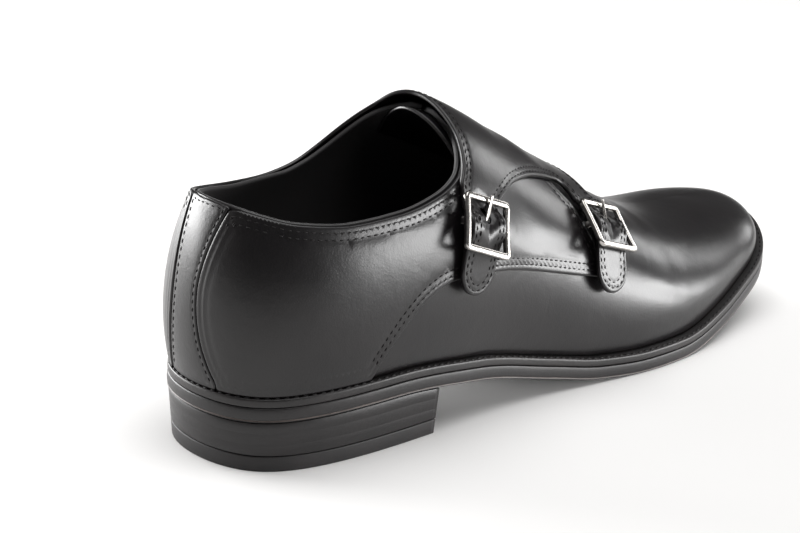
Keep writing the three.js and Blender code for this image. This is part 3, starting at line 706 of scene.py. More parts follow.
# %% finishes
# Polished black box calf: grain about 0.5 mm, drawn at 0.7 mm so that it survives at this distance.
calf = grained(finish("polished_black_calf",
                      {"Coat Weight": 0.1, "Coat Roughness": 0.2, "Specular IOR Level": 0.42}),
               ("0d0b0d", "161314"), (0.26, 0.38), 0.7, 0.05, 26, 0.5)
# Soft black calf lining with a matt, suede-like face.
lining = grained(finish("matt_calf_lining", {"Sheen Weight": 0.15, "Sheen Roughness": 0.5}),
                 ("141214", "1f1b1c"), (0.55, 0.72), 0.9, 0.06, 18)
# Vegetable-tanned welt strip, inked black and waxed.
welt_leather = grained(finish("inked_welt_leather"), ("131112", "201c1c"), (0.34, 0.5), 1.1, 0.08, 9)
# Cut sole and heel leather, inked and ironed: fibres run level along the edge.
edge_leather = grained(finish("ironed_sole_edge"), ("100e0f", "1b1718"), (0.34, 0.48), 1.4, 0.07, 14)
# The line along the lower corner of the sole: a painted highlight, a lighter grey that stands in for the
# light the ironed line catches.
painted_highlight_edge = grained(finish("painted_highlight_edge_line"), ("4a423f", "6a605b"), (0.4, 0.55), 0.8, 0.05, 6)
# Vulcanised rubber top piece.
rubber = grained(finish("black_heel_rubber"), ("191718", "232021"), (0.5, 0.66), 0.6, 0.05, 12)
# Waxed black linen thread.
thread = grained(finish("waxed_black_thread", {"Specular IOR Level": 0.2}),
                 ("0f0d0e", "1a1717"), (0.45, 0.6), 0.35, 0.04, 3)
# Polished nickel plate with fine rubbing marks.
nickel = finish("polished_nickel_plate", {"Metallic": 1.0})
rub, _ = mottled(nickel, ("a9a5a1", "c6c3bf"), (0.1, 0.24), 900.0, 4.0)
node(nickel, "ShaderNodeBump", {"Strength": 0.15, "Distance": 0.00003}, {"Height": rub.outputs["Fac"]},
     ("Normal", "Normal"))
# Pale painted sweep.
sweep = finish("pale_studio_sweep")
mottled(sweep, ("f6f5f4", "fbfaf9"), (0.6, 0.7), 3.0, 3.0)
print("finishes:", len(bpy.data.materials))

# %% the sweep under the shoe
floor_mesh = bpy.data.meshes.new("sweep")
REACH = 12  # metres from the middle to each side, so that no edge shows
corners = [(-REACH, -REACH, 0), (REACH, -REACH, 0), (REACH, REACH, 0), (-REACH, REACH, 0)]
floor_mesh.from_pydata(corners, [], [(0, 1, 2, 3)])
floor_mesh.materials.append(sweep)
floor = new_object("sweep", floor_mesh)

# %% [markdown]
# The shell is the body of the shoe: a calf vamp that runs on under the quarters, with a lining. It is
# pulled over the last in one go, so it is drawn in one go too: for every station round the shoe one line
# climbs outside from the welt to the collar, turns over the edge and runs down inside. Walking bends a
# shoe behind the toes; a new one shows it only as faint waves.

# %% heights of the layers, in millimetres above the last
WALL = 2  # shell
QUARTER = 2.45  # underside of the leather that lies on the shell
OVERLAY = 1.2  # its thickness
GAP = 0.3  # between one layer and the next
OVER = QUARTER + OVERLAY + GAP  # underside of the strap on the outer quarter
STRAP = 1.6
TAB = 0.9
PIN = 0.9  # radius of a buckle's centre bar
CENTRE_X = -1.5  # between the outer and the inner collar line


def collar_at(points):
    """Height of the collar line at points, on the side that they lie on."""
    y = points[..., 1]
    return np.where(points[..., 0] > CENTRE_X, collar_z(y), collar_inner_z(y))


def troughs(points, rows):
    """Soft troughs and ridges: rows of (y, z, side, reach along y, reach along z, turn, height)."""
    total = np.zeros(points.shape[:-1])
    for y, z, side, long, wide, turn, height in rows:
        dy, dz = points[..., 1] - y, points[..., 2] - z
        u = dy * math.cos(turn) + dz * math.sin(turn)
        v = dz * math.cos(turn) - dy * math.sin(turn)
        on_side = 1 / (1 + np.exp(-side * (points[..., 0] + 4) / 3)) if side else 1
        total = total + height * on_side * np.exp(-((u / long) ** 2) - (v / wide) ** 2)
    return total


VAMP_WAVES = [
    # y, z, side (1 outer, -1 inner, 0 both), reach, reach, turn, height
    (196, 34, 1, 16, 3.5, -0.5, 0.15),
    (203, 27, 1, 14, 2.6, -0.35, -0.16),
    (206, 50, 0, 4.5, 22, 0.1, -0.14),
    (213, 48, 0, 4, 20, 0.1, 0.12),
    (196, 34, -1, 15, 3.2, -0.45, 0.15),
    (204, 26, -1, 14, 2.6, -0.3, -0.16),
]

# %% shell and lining
SHELL_LINES = 420
shell_stations = np.linspace(0, AROUND, SHELL_LINES + 1)[:-1]
rise_table = np.linspace(0, 1, 401)
p_table, t_table = np.meshgrid(shell_stations, rise_table, indexing="ij")
over_wall = on_last(p_table, t_table, WALL)
above = over_wall[..., 2] > collar_at(over_wall)
above[over_wall[..., 1] > THROAT_Y + 1] = False
first_above = np.where(above.any(1), above.argmax(1), len(rise_table) - 1)
tops = rise_table[first_above]
for k, first in enumerate(first_above):
    if above[k].any() and first > 0:
        drop = over_wall[k, [first - 1, first], 2] - collar_at(over_wall[k, [first - 1, first]])
        tops[k] = rise_table[first - 1] + (rise_table[1] - rise_table[0]) * drop[0] / (drop[0] - drop[1])
open_top = tops < 0.999

OUT_ROWS, IN_ROWS, ROLL = 70, 50, 6  # rows of faces outside, inside and over the collar edge
lines = shell_stations[:, None]
t_out = tops[:, None] * np.linspace(0, 1, OUT_ROWS + 1)
outside = on_last(lines, t_out, WALL)
outside += last_normal(lines, t_out) * troughs(outside, VAMP_WAVES)[..., None]
outside[:, 0, 2] = bed(outside[:, 0, 1]) + 0.4  # the foot stands just clear of the welt
within = on_last(lines, tops[:, None] * np.linspace(1, 0, IN_ROWS + 1), 0.0)
roll = []
rim_normal = last_normal(shell_stations, tops)
step_up = unit(last_point(shell_stations, np.minimum(tops, 0.99)) - last_point(shell_stations, tops - 0.02))
middle = on_last(shell_stations, tops, WALL / 2)
for k in range(1, ROLL):
    angle = math.pi * (0.5 - k / ROLL)
    roll.append(middle + (WALL / 2) * (rim_normal * math.sin(angle) + 0.8 * step_up * math.cos(angle)))
loops = np.concatenate([outside, np.stack(roll, 1), within], 1)
row_count = loops.shape[1]
faces, which = [], []
for i in range(SHELL_LINES):
    j = (i + 1) % SHELL_LINES
    for k in range(row_count - 1):
        rim = OUT_ROWS <= k < OUT_ROWS + ROLL
        if rim and not (open_top[i] or open_top[j]):
            continue
        here, there = i * row_count + k, j * row_count + k
        faces.append([here, there, there + 1, here + 1])
        which.append(0 if k < OUT_ROWS + 2 else 1)  # calf runs on over the edge, then lining
shell = welded(piece_from("upper_shell", loops.reshape(-1, 3), faces, [calf, lining], which), 2e-5)
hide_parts("upper")
print("shell faces:", len(shell.data.polygons))

# %% [markdown]
# The quarters. The outer quarter runs from the back strip to the buckles and hides its upper edge under
# the strap. The inner quarter and the strap are one hide: it climbs from the inner side of the heel
# over the instep and ends in two arms. A cutter would lay this shape flat; the outline here goes
# round the last in the same order, and the arms are joined to it by their overlap.

# %% edges of the quarters, seen from the side
# The back strip sits more on the inner side of the heel than on the outer.
STAY_WAIST = 62  # height of the back strip's narrowest place
STAY_OUTER, STAY_INNER = (1.4, 6.0, 7.8), (12.0, 1.0, 2.5)  # reach there, and growth to top and foot


def stay_reach(side, z):
    """How far the back strip reaches to the outer (1) or inner (-1) side of the heel's middle."""
    waist, top, foot = STAY_OUTER if side > 0 else STAY_INNER
    up, down = np.clip((z - STAY_WAIST) / 28, 0, 1), np.clip((STAY_WAIST - z) / 32, 0, 1)
    return waist + top * up**1.5 + foot * down**2


OUTER_SEAM = [(47.6, 27.6), (50, 32.5), (55.5, 40.5), (64, 49.5), (72, 55), (80, 57.6), (92, 57.4),
              (104, 56.6), (120, 53.6), (134, 50), (152, 45), (167, 41.2)]
OUTER_FRONT = [(167, 41.2), (164.5, 50), (161.5, 60), (159.5, 68)]
OUTER_HIDDEN = [(159.5, 68), (150, 80), (135, 87), (118, 92), (104, 101), (101.5, 103.2)]
INNER_SEAM = [(47.6, 27.6), (50, 33), (55.5, 41), (64, 49), (76, 52.5), (92, 51.5), (110, 47), (134, 40.5),
              (152, 36), (170, 33.5), (178, 34)]
INNER_FRONT = [(178, 34), (180, 44), (179.5, 56), (177.8, 66)]
TOPLINE = [(-5, 94.5), (8, 90.5), (22, 86.5), (42, 83.6), (60, 84), (70, 86.6), (78, 91.4), (86, 98),
           (92, 103.6), (95.5, 107)]
FRONT_CORNER = (176, 64.6)  # where the strap's front edge meets the front arm
OVER_INSTEP = [(98.3, 0.97), (98.4, 1.0), (98.0, 1.03)]  # y and wrap of its back edge over the ridge
STRAP_BACK = [(98.6, 110), (98.2, 104.5), (95.6, 98.5), (93, 94), (90.5, 91)]
ARCH = [(104.5, 78), (107, 79.8), (110, 81.2), (114, 82.4), (119, 83.6), (126, 83.7), (135, 82.7),
        (142.6, 80.8), (151, 78), (158, 75.2), (161, 72.6), (161.6, 70.6), (161, 69)]
OUTER_SIDE = (0.0, 7.6)
INNER_SIDE = (22.4, 30.0)
ON_SHELL = QUARTER + OVERLAY / 2  # middle of the leather that lies on the shell
ON_INNER = ON_SHELL + (STRAP - OVERLAY) / 2  # the same for the inner quarter, which is cut thicker
ON_QUARTER = OVER + STRAP / 2  # middle of the strap where it crosses the outer quarter


def stay_edge(sign, extra, low, high):
    """The edge of the back strip on one side, from one height to another, on the chart of p and t."""
    z = np.linspace(low, high, 40)
    x = sign * (stay_reach(sign, z) + extra)
    return find_on_last(np.stack([x, z], 1), [0, 2], (0.0, 3.2) if sign > 0 else (-3.2, 0.0), ON_SHELL)


def drawn(rows, side, by, spacing=1.0):
    """A smooth line through (y, z) rows of one side, on the chart of a layer this high."""
    return find_on_last(smooth_line(rows, spacing), [1, 2], side, by)


def collar_line(side, y_from, y_to, line):
    """The collar edge from one y to another, on the chart."""
    y = np.linspace(y_from, y_to, 60)
    return find_on_last(np.stack([y, line(y)], 1), [1, 2], side, ON_SHELL)


# %% outer quarter
BOTTOM = 0.006  # rise of the lower edges, just over the welt
QUARTER_SEAMS, STRAP_SEAMS, STRIP_SEAM = (2.1, 4.3), (1.7, 3.6), 1.5  # from the edge to each row
seam, front = drawn(OUTER_SEAM, OUTER_SIDE, ON_SHELL), drawn(OUTER_FRONT, OUTER_SIDE, ON_SHELL)
hidden = drawn(OUTER_HIDDEN, OUTER_SIDE, ON_SHELL, 2.0)
strip = stay_edge(1, GAP, 27.5, 89.5)
collar = collar_line(OUTER_SIDE, 101.3, 8.5, collar_z)
foot = np.stack([np.linspace(strip[0, 0], seam[0, 0], 40), np.full(40, BOTTOM)], 1)
collar = collar[collar[:, 0] > np.interp(collar[:, 1], strip[:, 1], strip[:, 0]) + 0.02]
quarter_loop = np.vstack([foot, seam[1:], front[1:], hidden[1:], collar[1:], strip[::-1][:-1]])


def flat_lift(height):
    """A lift that is the same everywhere."""
    return lambda a, b: np.full(np.shape(a), float(height))


QUARTER_WAVES = [
    (118, 76, 1, 22, 5, -0.9, -0.3),
    (108, 72, 1, 20, 4.5, -0.9, 0.28),
    (96, 66, 1, 14, 4, -0.7, -0.2),
    (140, 62, 1, 16, 4, -0.3, 0.22),
    (146, 56, 1, 16, 3.5, -0.3, -0.24),
]
outer_quarter = leather_panel(
    "outer_quarter", on_last, [quarter_loop], flat_lift(QUARTER), OVERLAY, [calf],
    rows=QUARTER_SEAMS, relief=lambda at: troughs(at, QUARTER_WAVES))
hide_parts("lateral_quarter")
print("outer quarter faces:", len(outer_quarter.data.polygons))

# %% back strip
left = stay_edge(-1, 0, 27.5, 89.8)
right_edge = stay_edge(1, 0, 27.5, 89.8)
across = np.linspace(left[-1, 0], right_edge[-1, 0], 14)
crown = []
for p in across:
    rises = np.linspace(0.3, 1, 400)
    line = on_last(np.full(400, p), rises, QUARTER)
    over = line[:, 2] > collar_at(line)
    crown.append((p, rises[over.argmax()]))
crown = np.array(crown)
strip_loop = np.vstack([
    np.stack([np.linspace(left[0, 0], right_edge[0, 0], 20), np.full(20, BOTTOM)], 1),
    right_edge[right_edge[:, 1] < crown[-1, 1] - 0.01][1:],
    crown[::-1],
    left[left[:, 1] < crown[0, 1] - 0.01][::-1][:-1],
])
back_strip = leather_panel("back_strip", on_last, [strip_loop], flat_lift(QUARTER), OVERLAY, [calf],
                           rows=(STRIP_SEAM,))
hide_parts("back_stay")
print("back strip faces:", len(back_strip.data.polygons))

# %% where the two buckles sit
def buckle_seat(y, w, turn, twist):
    """Local directions at a buckle, twisted from its arm: across the frame, up it and out of the leather."""
    s = station_of(y)
    here = wrapped(s, w)
    out = unit(wrapped(s, w, 1.0) - here)
    level = (wrapped(station_of(y + 1), w) - wrapped(station_of(y - 1), w)) / 2
    climb = wrapped(s, w + 0.01) - wrapped(s, w - 0.01)
    per_mm = 0.02 / np.linalg.norm(climb)
    climb = unit(climb)
    flat = unit(level - out * level.dot(out))
    across = flat * math.cos(turn) + np.cross(out, flat) * math.sin(turn)
    up = np.cross(out, across)
    axes = np.stack([across * math.cos(twist) + up * math.sin(twist),
                     up * math.cos(twist) - across * math.sin(twist), out])
    return {"y": y, "w": w, "per_mm": per_mm, "drift": -across.dot(climb) / across.dot(level),
            "axes": axes, "place": here}


BUCKLES = {"rear": buckle_seat(94.6, 0.389, 0.0, -0.15), "front": buckle_seat(168.6, 0.515, 0.1, -0.05)}
ARM_LIFT = [(-26, OVER + TAB + 0.2), (-16, OVER + TAB + 0.3), (-12, OVER + 1.4), (-8.6, OVER + 2.0),
            (-5, OVER + 3.4), (-2.4, OVER + 4.7), (0, OVER + 4.8), (2.4, OVER + 4.3), (5, OVER + 1.9),
            (7.6, OVER + 0.08), (30, OVER + 0.08)]
arm_lift = table_curve(ARM_LIFT)
STRAP_HALF = 8.2
ARM_TIP = -22
FLARES = {"rear": (0.4, 4.4), "front": (0.2, 0.4)}  # how much each side of an arm widens upwards
SLOT_HALF, SLOT_UP = (1.35, 2.9), 3.3  # the prong's slot and its height over the centre bar


def seated(seat, points):
    """Points in a buckle's own millimetres, placed on the shoe."""
    return np.asarray(points, float) @ seat["axes"] + seat["place"]


def arm_outline(seat, flares, reach=17):
    """An arm with a round tip that widens into the strap, on the chart of station and wrap."""
    s = np.concatenate([ARM_TIP + STRAP_HALF * (1 - np.cos(np.linspace(0, np.pi / 2, 16))),
                        np.arange(ARM_TIP + STRAP_HALF + 1, reach + 0.1, 1.0)])
    half = np.sqrt(np.maximum(0, STRAP_HALF**2 - np.maximum(0, STRAP_HALF - (s - ARM_TIP)) ** 2))
    sides = []
    for sign, flare in zip((-1, 1), flares):
        wide = half + flare * np.clip((s - 11) / 8, 0, 1.6) ** 2
        y = seat["y"] + seat["drift"] * s + sign * wide
        sides.append(np.stack([station_of(y), seat["w"] + seat["per_mm"] * s], 1))
    return np.vstack([sides[0][::-1], sides[1][1:]])


def strap_lift(s, w):
    """Height of the underside of strap and inner quarter above the last."""
    ease = np.clip((w - 1.02) / 0.28, 0, 1)
    height = OVER + (QUARTER - OVER) * ease * ease * (3 - 2 * ease)
    y = ridge_y(s)
    for seat in BUCKLES.values():
        climb = (w - seat["w"]) / seat["per_mm"]
        beside = np.abs(y - seat["y"] - seat["drift"] * climb)
        height = np.where((climb < 9) & (beside < 13), arm_lift(climb), height)
    return height


# %% inner quarter and strap
def to_wrap(chart):
    """From the chart of p and t to that of station and wrap, on the inner side."""
    return np.stack([AROUND - chart[:, 0], 2 - chart[:, 1]], 1)


inner_strip = stay_edge(-1, GAP, 27.5, 89.5)
inner_strip = np.stack([-inner_strip[:, 0], 2 - inner_strip[:, 1]], 1)
inner_seam, inner_front, topline = (
    to_wrap(drawn(rows, INNER_SIDE, ON_INNER)) for rows in (INNER_SEAM, INNER_FRONT, TOPLINE))
topline = topline[topline[:, 0] > np.interp(topline[:, 1], inner_strip[::-1, 1], inner_strip[::-1, 0]) + 0.02]
strap_back = drawn(STRAP_BACK[1:], OUTER_SIDE, ON_QUARTER)
arch = drawn(ARCH, OUTER_SIDE, ON_QUARTER)
inner_foot = np.stack([np.linspace(inner_strip[0, 0], inner_seam[0, 0], 40), np.full(40, 2 - BOTTOM)], 1)
front_corner = find_on_last([FRONT_CORNER], [1, 2], OUTER_SIDE, ON_QUARTER)[0]
over_front = np.linspace(inner_front[-1], front_corner, 24)
over_back = np.array([(station_of(y), w) for y, w in OVER_INSTEP])
body_loop = np.vstack([
    inner_foot, inner_seam[1:], inner_front[1:], over_front[1:], arch[::-1], strap_back[::-1],
    over_back, topline[::-1], inner_strip[::-1][:-1],
])
strap_loop = joined_outline(
    [body_loop] + [arm_outline(BUCKLES[name], FLARES[name]) for name in BUCKLES], wrapped)
strap_loop = softened(strap_loop, 1.2)


def squarish(value, fullness):
    """A sine or cosine pushed towards 1 or -1, which turns an ellipse into a rounded box."""
    return np.sign(value) * np.abs(value) ** fullness


def slot_loop(seat):
    """The hole that lets the prong through: a rounded slot a little above the centre bar."""
    angle = np.linspace(0, 2 * np.pi, 28, endpoint=False)
    across = SLOT_HALF[0] * squarish(np.cos(angle), 0.6)
    climb = SLOT_UP + SLOT_HALF[1] * squarish(np.sin(angle), 0.6)
    return np.stack([station_of(seat["y"] + seat["drift"] * climb + across),
                     seat["w"] + seat["per_mm"] * climb], 1)


STRAP_WAVES = [
    (128, 96, 0, 5, 18, 0.3, -0.25),
    (139, 92, 0, 5, 18, 0.3, 0.22),
    (152, 84, 0, 5, 16, 0.3, -0.2),
    (120, 74, -1, 20, 5, -0.9, -0.3),
    (106, 70, -1, 18, 4.5, -0.9, 0.26),
]
strap = leather_panel(
    "inner_quarter_and_strap", wrapped, [strap_loop] + [slot_loop(seat) for seat in BUCKLES.values()],
    strap_lift, STRAP, [calf], rows=STRAP_SEAMS, radius=0.6, relief=lambda at: troughs(at, STRAP_WAVES))
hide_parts("medial_quarter_strap")
print("strap faces:", len(strap.data.polygons))

# %% [markdown]
# The tongue lies under the strap and fills the throat. It is one soft layer, skived thin at its edges so
# that it doesn't press on the foot. Inside, a leather sock covers the insole, slightly crowned, with a
# stitched-down edge that meets the lining.

# %% tongue
TONGUE = 1.4  # thickness
TONGUE_FROM, TONGUE_TO = 97, 168
BACK_REACH, FRONT_REACH = 0.36, 0.3  # how far it wraps to each side
across = np.linspace(-1, 1, 30)
tongue_back = np.stack([station_of(TONGUE_FROM) + 0.1 - 0.1 * np.cos(across * np.pi / 2),
                        1 + BACK_REACH * across], 1)
tongue_y = np.linspace(TONGUE_FROM, TONGUE_TO, 50)[1:]
reach = np.interp(tongue_y, [TONGUE_FROM, TONGUE_TO], [BACK_REACH, FRONT_REACH])
tongue_loop = np.vstack([
    tongue_back,
    np.stack([station_of(tongue_y), 1 + reach], 1),
    np.stack([station_of(tongue_y), 1 - reach], 1)[::-1],
])
tongue_loop = softened(even(tongue_loop, wrapped, 1.0, closed=True), 2)
tongue = leather_panel("tongue", wrapped, [tongue_loop], flat_lift(-0.5 - TONGUE), TONGUE - 0.05, [calf],
                       rows=(2.2,))
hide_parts("tongue")

# %% tools that follow the outline of the sole
END_STATIONS = TIP * (1 - np.cos(np.linspace(0, np.pi, 171))) / 2


def lofted(name, loops, finishes, which=None, ring=False, caps=False):
    """A skin over loops of points that all have the same count."""
    loops = np.asarray(loops)
    steps, count = loops.shape[:2]
    faces, marks = [], []
    for i in range(steps if ring else steps - 1):
        for k in range(count):
            a, b = i * count + k, i * count + (k + 1) % count
            c, d = ((i + 1) % steps) * count + (k + 1) % count, ((i + 1) % steps) * count + k
            faces.append([a, d, c, b])
            marks.append(which[k] if which is not None else 0)
    if caps:
        for i, order in ((0, 1), (steps - 1, -1)):
            faces.append([i * count + k for k in range(count)][::order])
            marks.append(0)
    return welded(piece_from(name, loops.reshape(-1, 3), faces, finishes, marks), 1e-6, outwards=True)


def at_outline(p, out, height):
    """Points pushed out from the feather line, at heights given by y."""
    x, y = outline(p, out)
    return np.stack([x, y, height(y)], -1)


SOLE_THICK = 5.2
WELT_THICK = 3


def sole_top(y):
    """Height of the upper face of the outsole."""
    return bed(y) - WELT_THICK - GAP


def sole_under(y):
    """Height of the lower face of the outsole."""
    return sole_top(y) - SOLE_THICK


# %% sock and insole
SOCK_HIGH = 3.0  # over the feather line
SOCK_SPREAD = np.sin(np.linspace(-np.pi / 2, np.pi / 2, 31))
sock_loops = []
for s in END_STATIONS:
    outer = at_outline(s, -GAP, bed)
    inner = at_outline(AROUND - s, -GAP, bed)
    line = outer + (inner - outer) * (SOCK_SPREAD[:, None] + 1) / 2
    crown = 0.8 * (1 - SOCK_SPREAD**2) - 0.8 * np.exp(-((1 - np.abs(SOCK_SPREAD)) / 0.03))
    over = line + np.array([0, 0, 1]) * (SOCK_HIGH + crown[:, None] * 0.35)
    under = line - np.array([0, 0, 1]) * WELT_THICK
    sock_loops.append(np.vstack([over, under[::-1]]))
sock = lofted("sock_and_insole", sock_loops, [lining])
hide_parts("insole")

# %% [markdown]
# The welt is a strip sewn to the upper; the sole is sewn to the welt, and that row of stitches is what one
# sees from above. The edge of welt and sole is trimmed together, ironed smooth and inked. A thin line is
# left along each corner by the edge iron, and catches the light.

# %% welt
around = AROUND_FINE[:-1]
WELT_PROFILE = [
    # share of the edge from the feather line outwards, height from the underside of the welt
    (0.0, 3.0), (0.35, 3.06), (0.66, 3.02), (0.8, 2.9), (0.88, 2.96), (0.95, 2.82), (0.99, 2.5),
    (0.995, 1.9), (1.0, 1.2), (1.0, 0.5), (0.985, 0.12), (0.96, 0.0), (0.5, 0.0), (0.0, 0.0),
]
welt_loops = np.stack([
    at_outline(around, edge_out(around) * share, lambda y, h=height: bed(y) - WELT_THICK + h)
    for share, height in WELT_PROFILE], 1)
welt = lofted("welt", welt_loops, [welt_leather], ring=True)
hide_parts("welt")

# %% outsole
SOLE_PROFILE = [
    # distance in from the edge, height from the top of the sole
    (0.5, 0.0), (0.12, -0.12), (0.0, -0.5), (-0.12, -1.6), (-0.15, -2.6), (-0.1, -3.7), (0.02, -4.3),
    (0.25, -4.42), (0.25, -4.62), (0.0, -4.75), (0.05, -5.0), (0.3, -5.18), (0.8, -5.2),
]
SOLE_ROWS = len(SOLE_PROFILE)
UNDER = 24
under_spread = (1 - np.cos(np.linspace(0, np.pi, UNDER + 2)[1:-1])) / 2
sole_loops = []
for s in END_STATIONS:
    sides = []
    for p in (s, AROUND - s):
        edge = [at_outline(p, edge_out(p) - inward, lambda y, d=drop: sole_top(y) + d)
                for inward, drop in SOLE_PROFILE]
        sides.append(np.array(edge))
    outer, inner = sides
    under = outer[-1] + (inner[-1] - outer[-1]) * under_spread[:, None]
    top = inner[0] + (outer[0] - inner[0]) * under_spread[:, None]
    sole_loops.append(np.vstack([outer, under, inner[::-1], top]))
highlight_rows = {6, 7, 8}  # the groove low on the edge, painted lighter grey as a highlight
marks = [1 if k in highlight_rows or (2 * SOLE_ROWS + UNDER - 2 - k) in highlight_rows else 0
         for k in range(len(sole_loops[0]))]
outsole = lofted("outsole", sole_loops, [edge_leather, painted_highlight_edge], marks)
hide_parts("outsole")

# %% [markdown]
# The heel is a stack of leather lifts under a rubber top piece. Each lift is glued and nailed to the one
# above, then the whole block is trimmed with a slight taper, so its edge shows fine level lines. The
# front of the heel, the breast, is cut hollow.

# %% heel stack and top piece
BREAST_Y = 80
BREAST_HOLLOW = 4
BREAST_EDGE = 0.2
HEEL_TAPER = 1.6
LIFT_THICK = 6
seat_height = float(sole_under(0))


def heel_loop(drawn_in, height):
    """The heel's outline at one level: round the back, then across the hollow breast."""
    fine = np.linspace(-8, 8, 1601)
    x, y = outline(fine, edge_out(fine) - drawn_in)
    back_part = fine[y < BREAST_Y - BREAST_EDGE]
    spread = np.linspace(back_part.min(), back_part.max(), 140)
    x, y = outline(spread, edge_out(spread) - drawn_in)
    u = np.linspace(0, 1, 26)[1:-1]
    breast_x = x[-1] + (x[0] - x[-1]) * u
    breast_y = BREAST_Y - 4 * BREAST_HOLLOW * u * (1 - u)
    y[0] = y[-1] = BREAST_Y - BREAST_EDGE
    x, y = np.concatenate([x, breast_x]), np.concatenate([y, breast_y])
    return np.stack([x, y, height(y) if callable(height) else np.full(len(x), float(height))], 1)


def drawn_in_at(z):
    """How far the heel stands inside the sole edge at a height."""
    return 0.4 + HEEL_TAPER * (seat_height - z) / seat_height


def layered_levels(top, bottom, layers, groove, round_off):
    """Heights and insets down a stack of layers, with a fine groove between two layers."""
    rows = [(top, 0.35), (top - 0.06, 0.12), (top - round_off, 0.0)]
    thick = (top - bottom) / layers
    for k in range(1, layers):
        z = top - k * thick
        rows += [(z + 0.16, 0.0), (z + 0.05, groove), (z - 0.05, groove), (z - 0.16, 0.0)]
    return rows + [(bottom + round_off, 0.0), (bottom + 0.06, 0.12), (bottom, 0.35)]


def heel_block(name, levels, finish_used, follow_sole):
    """A block of lifts; one that follows the sole slopes with it at the top and is level at the foot."""
    def height(z):
        share = (z - LIFT_THICK) / (seat_height - LIFT_THICK)
        return (lambda y: z + share * (sole_under(y) - GAP - seat_height)) if follow_sole else z

    loops = [heel_loop(drawn_in_at(z) + inset, height(z)) for z, inset in levels]
    first, last = loops[0], loops[-1]
    for shrink in (0.5, 0.02):
        for end, target in ((0, first), (len(loops), last)):
            middle = target.mean(0)
            ring = middle + (target - middle) * shrink
            ring[:, 2] = target[:, 2] if not follow_sole or end else sole_under(ring[:, 1]) - GAP
            loops.insert(0 if end == 0 else len(loops), ring)
    return lofted(name, loops, [finish_used], caps=True)


stack = heel_block("heel_stack", layered_levels(seat_height, LIFT_THICK, 3, 0.03, 0.2), edge_leather, True)
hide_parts("heel_stack")
top_piece = heel_block("heel_top_piece", layered_levels(LIFT_THICK - GAP, 0, 1, 0.1, 0.5), rubber, False)
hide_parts("heel_lift")
print("heel faces:", len(stack.data.polygons), len(top_piece.data.polygons))

# %% [markdown]
# The buckles are die-cast frames with a centre bar, softly rounded, polished and plated. The arm comes
# from above under the top bar, bulges over the centre bar and goes under the bottom bar. The prong
# turns on the centre bar, comes up through the arm and rests on the top bar. A folded tab of the same
# calf holds the centre bar to the quarter.

# %% sizes of a buckle
FRAME_WIDE = 24.5
FRAME_LONG = 21
FRAME_BAR = 2.5
FRAME_THICK = 2
WAIST = 0.5
PIN_Z = OVER + TAB + GAP + PIN
TURN = PIN + GAP
FRAME_Z = OVER + STRAP + 1.95
FRAME_TILT = 0.15
FRAME_CORNER = 1.3
PRONG_REST = 0.95  # how far the prong stays above the top bar
PRONG_FROM = 0.6
PRONG_TIP = FRAME_LONG / 2 + 0.3
EYE = TURN + 0.45  # radius of the prong's eye round the centre bar
BAR_HALF = FRAME_WIDE / 2 - FRAME_BAR / 2 - 0.75  # the centre bar ends inside the side bars
TAB_HALF = STRAP_HALF - 1
TAB_TAIL = -16.5  # how far the tab lies along the quarter
TAB_FOLD = -0.9
UP = np.array([0, 0, 1.0])


# %% bars and frames
def swept(name, seat, path, section, up, finishes, ring=False, wide=1.0, thick=1.0):
    """A bar with one section, widened and thickened by shares, along a path in a buckle's millimetres."""
    ahead = unit(np.roll(path, -1, 0) - np.roll(path, 1, 0)) if ring else unit(np.gradient(path, axis=0))
    up = unit(np.asarray(up, float) - ahead * np.sum(ahead * up, 1, keepdims=True))
    shares = [np.broadcast_to(share, len(path)) for share in (wide, thick)]
    loops = [seated(seat, point + s * section[:, 0:1] * w + n * section[:, 1:2] * t)
             for point, s, n, w, t in zip(path, np.cross(ahead, up), up, *shares)]
    return lofted(name, loops, finishes, ring=ring, caps=not ring)


def rounded_section(wide, thick, fullness, count=28):
    """A bar's section between an ellipse, 1, and a box, near 0."""
    angle = np.linspace(0, 2 * np.pi, count, endpoint=False)
    return np.stack([wide / 2 * squarish(np.cos(angle), fullness),
                     thick / 2 * squarish(np.sin(angle), fullness)], 1)


def frame_path(half_x, half_y, corner, waist, count=26):
    """A rounded rectangle whose long sides are drawn in at the waist."""
    points = []
    quarter = np.linspace(0, np.pi / 2, 9)
    for turn, (cx, cy) in enumerate(((1, 1), (-1, 1), (-1, -1), (1, -1))):
        angle = quarter + turn * np.pi / 2
        middle = np.array([cx * (half_x - corner), cy * (half_y - corner)])
        points.append(middle + corner * np.stack([np.cos(angle), np.sin(angle)], 1))
    loop = np.vstack(points + [points[0][:1]])
    run = along(loop)
    at = np.linspace(0, run[-1], 4 * count, endpoint=False)
    loop = sampled(at, run, loop)
    on_side = np.abs(loop[:, 0]) > half_x * 0.8
    loop[:, 0] -= np.sign(loop[:, 0]) * waist * (1 - (loop[:, 1] / half_y) ** 2) * on_side
    return loop


def joined(name, parts):
    """Several meshes as one piece."""
    net = bmesh.new()
    for part in parts:
        net.from_mesh(part.data)
    keep = parts[0]
    net.to_mesh(keep.data)
    net.free()
    for part in parts[1:]:
        bpy.data.objects.remove(part, do_unlink=True)
    keep.name = name
    keep.data.name = name
    return keep


# %% buckles and tabs
def spokes(angles):
    """Directions round the centre bar, in the plane that the prong turns in."""
    return np.column_stack([np.zeros(len(angles)), np.cos(angles), np.sin(angles)])


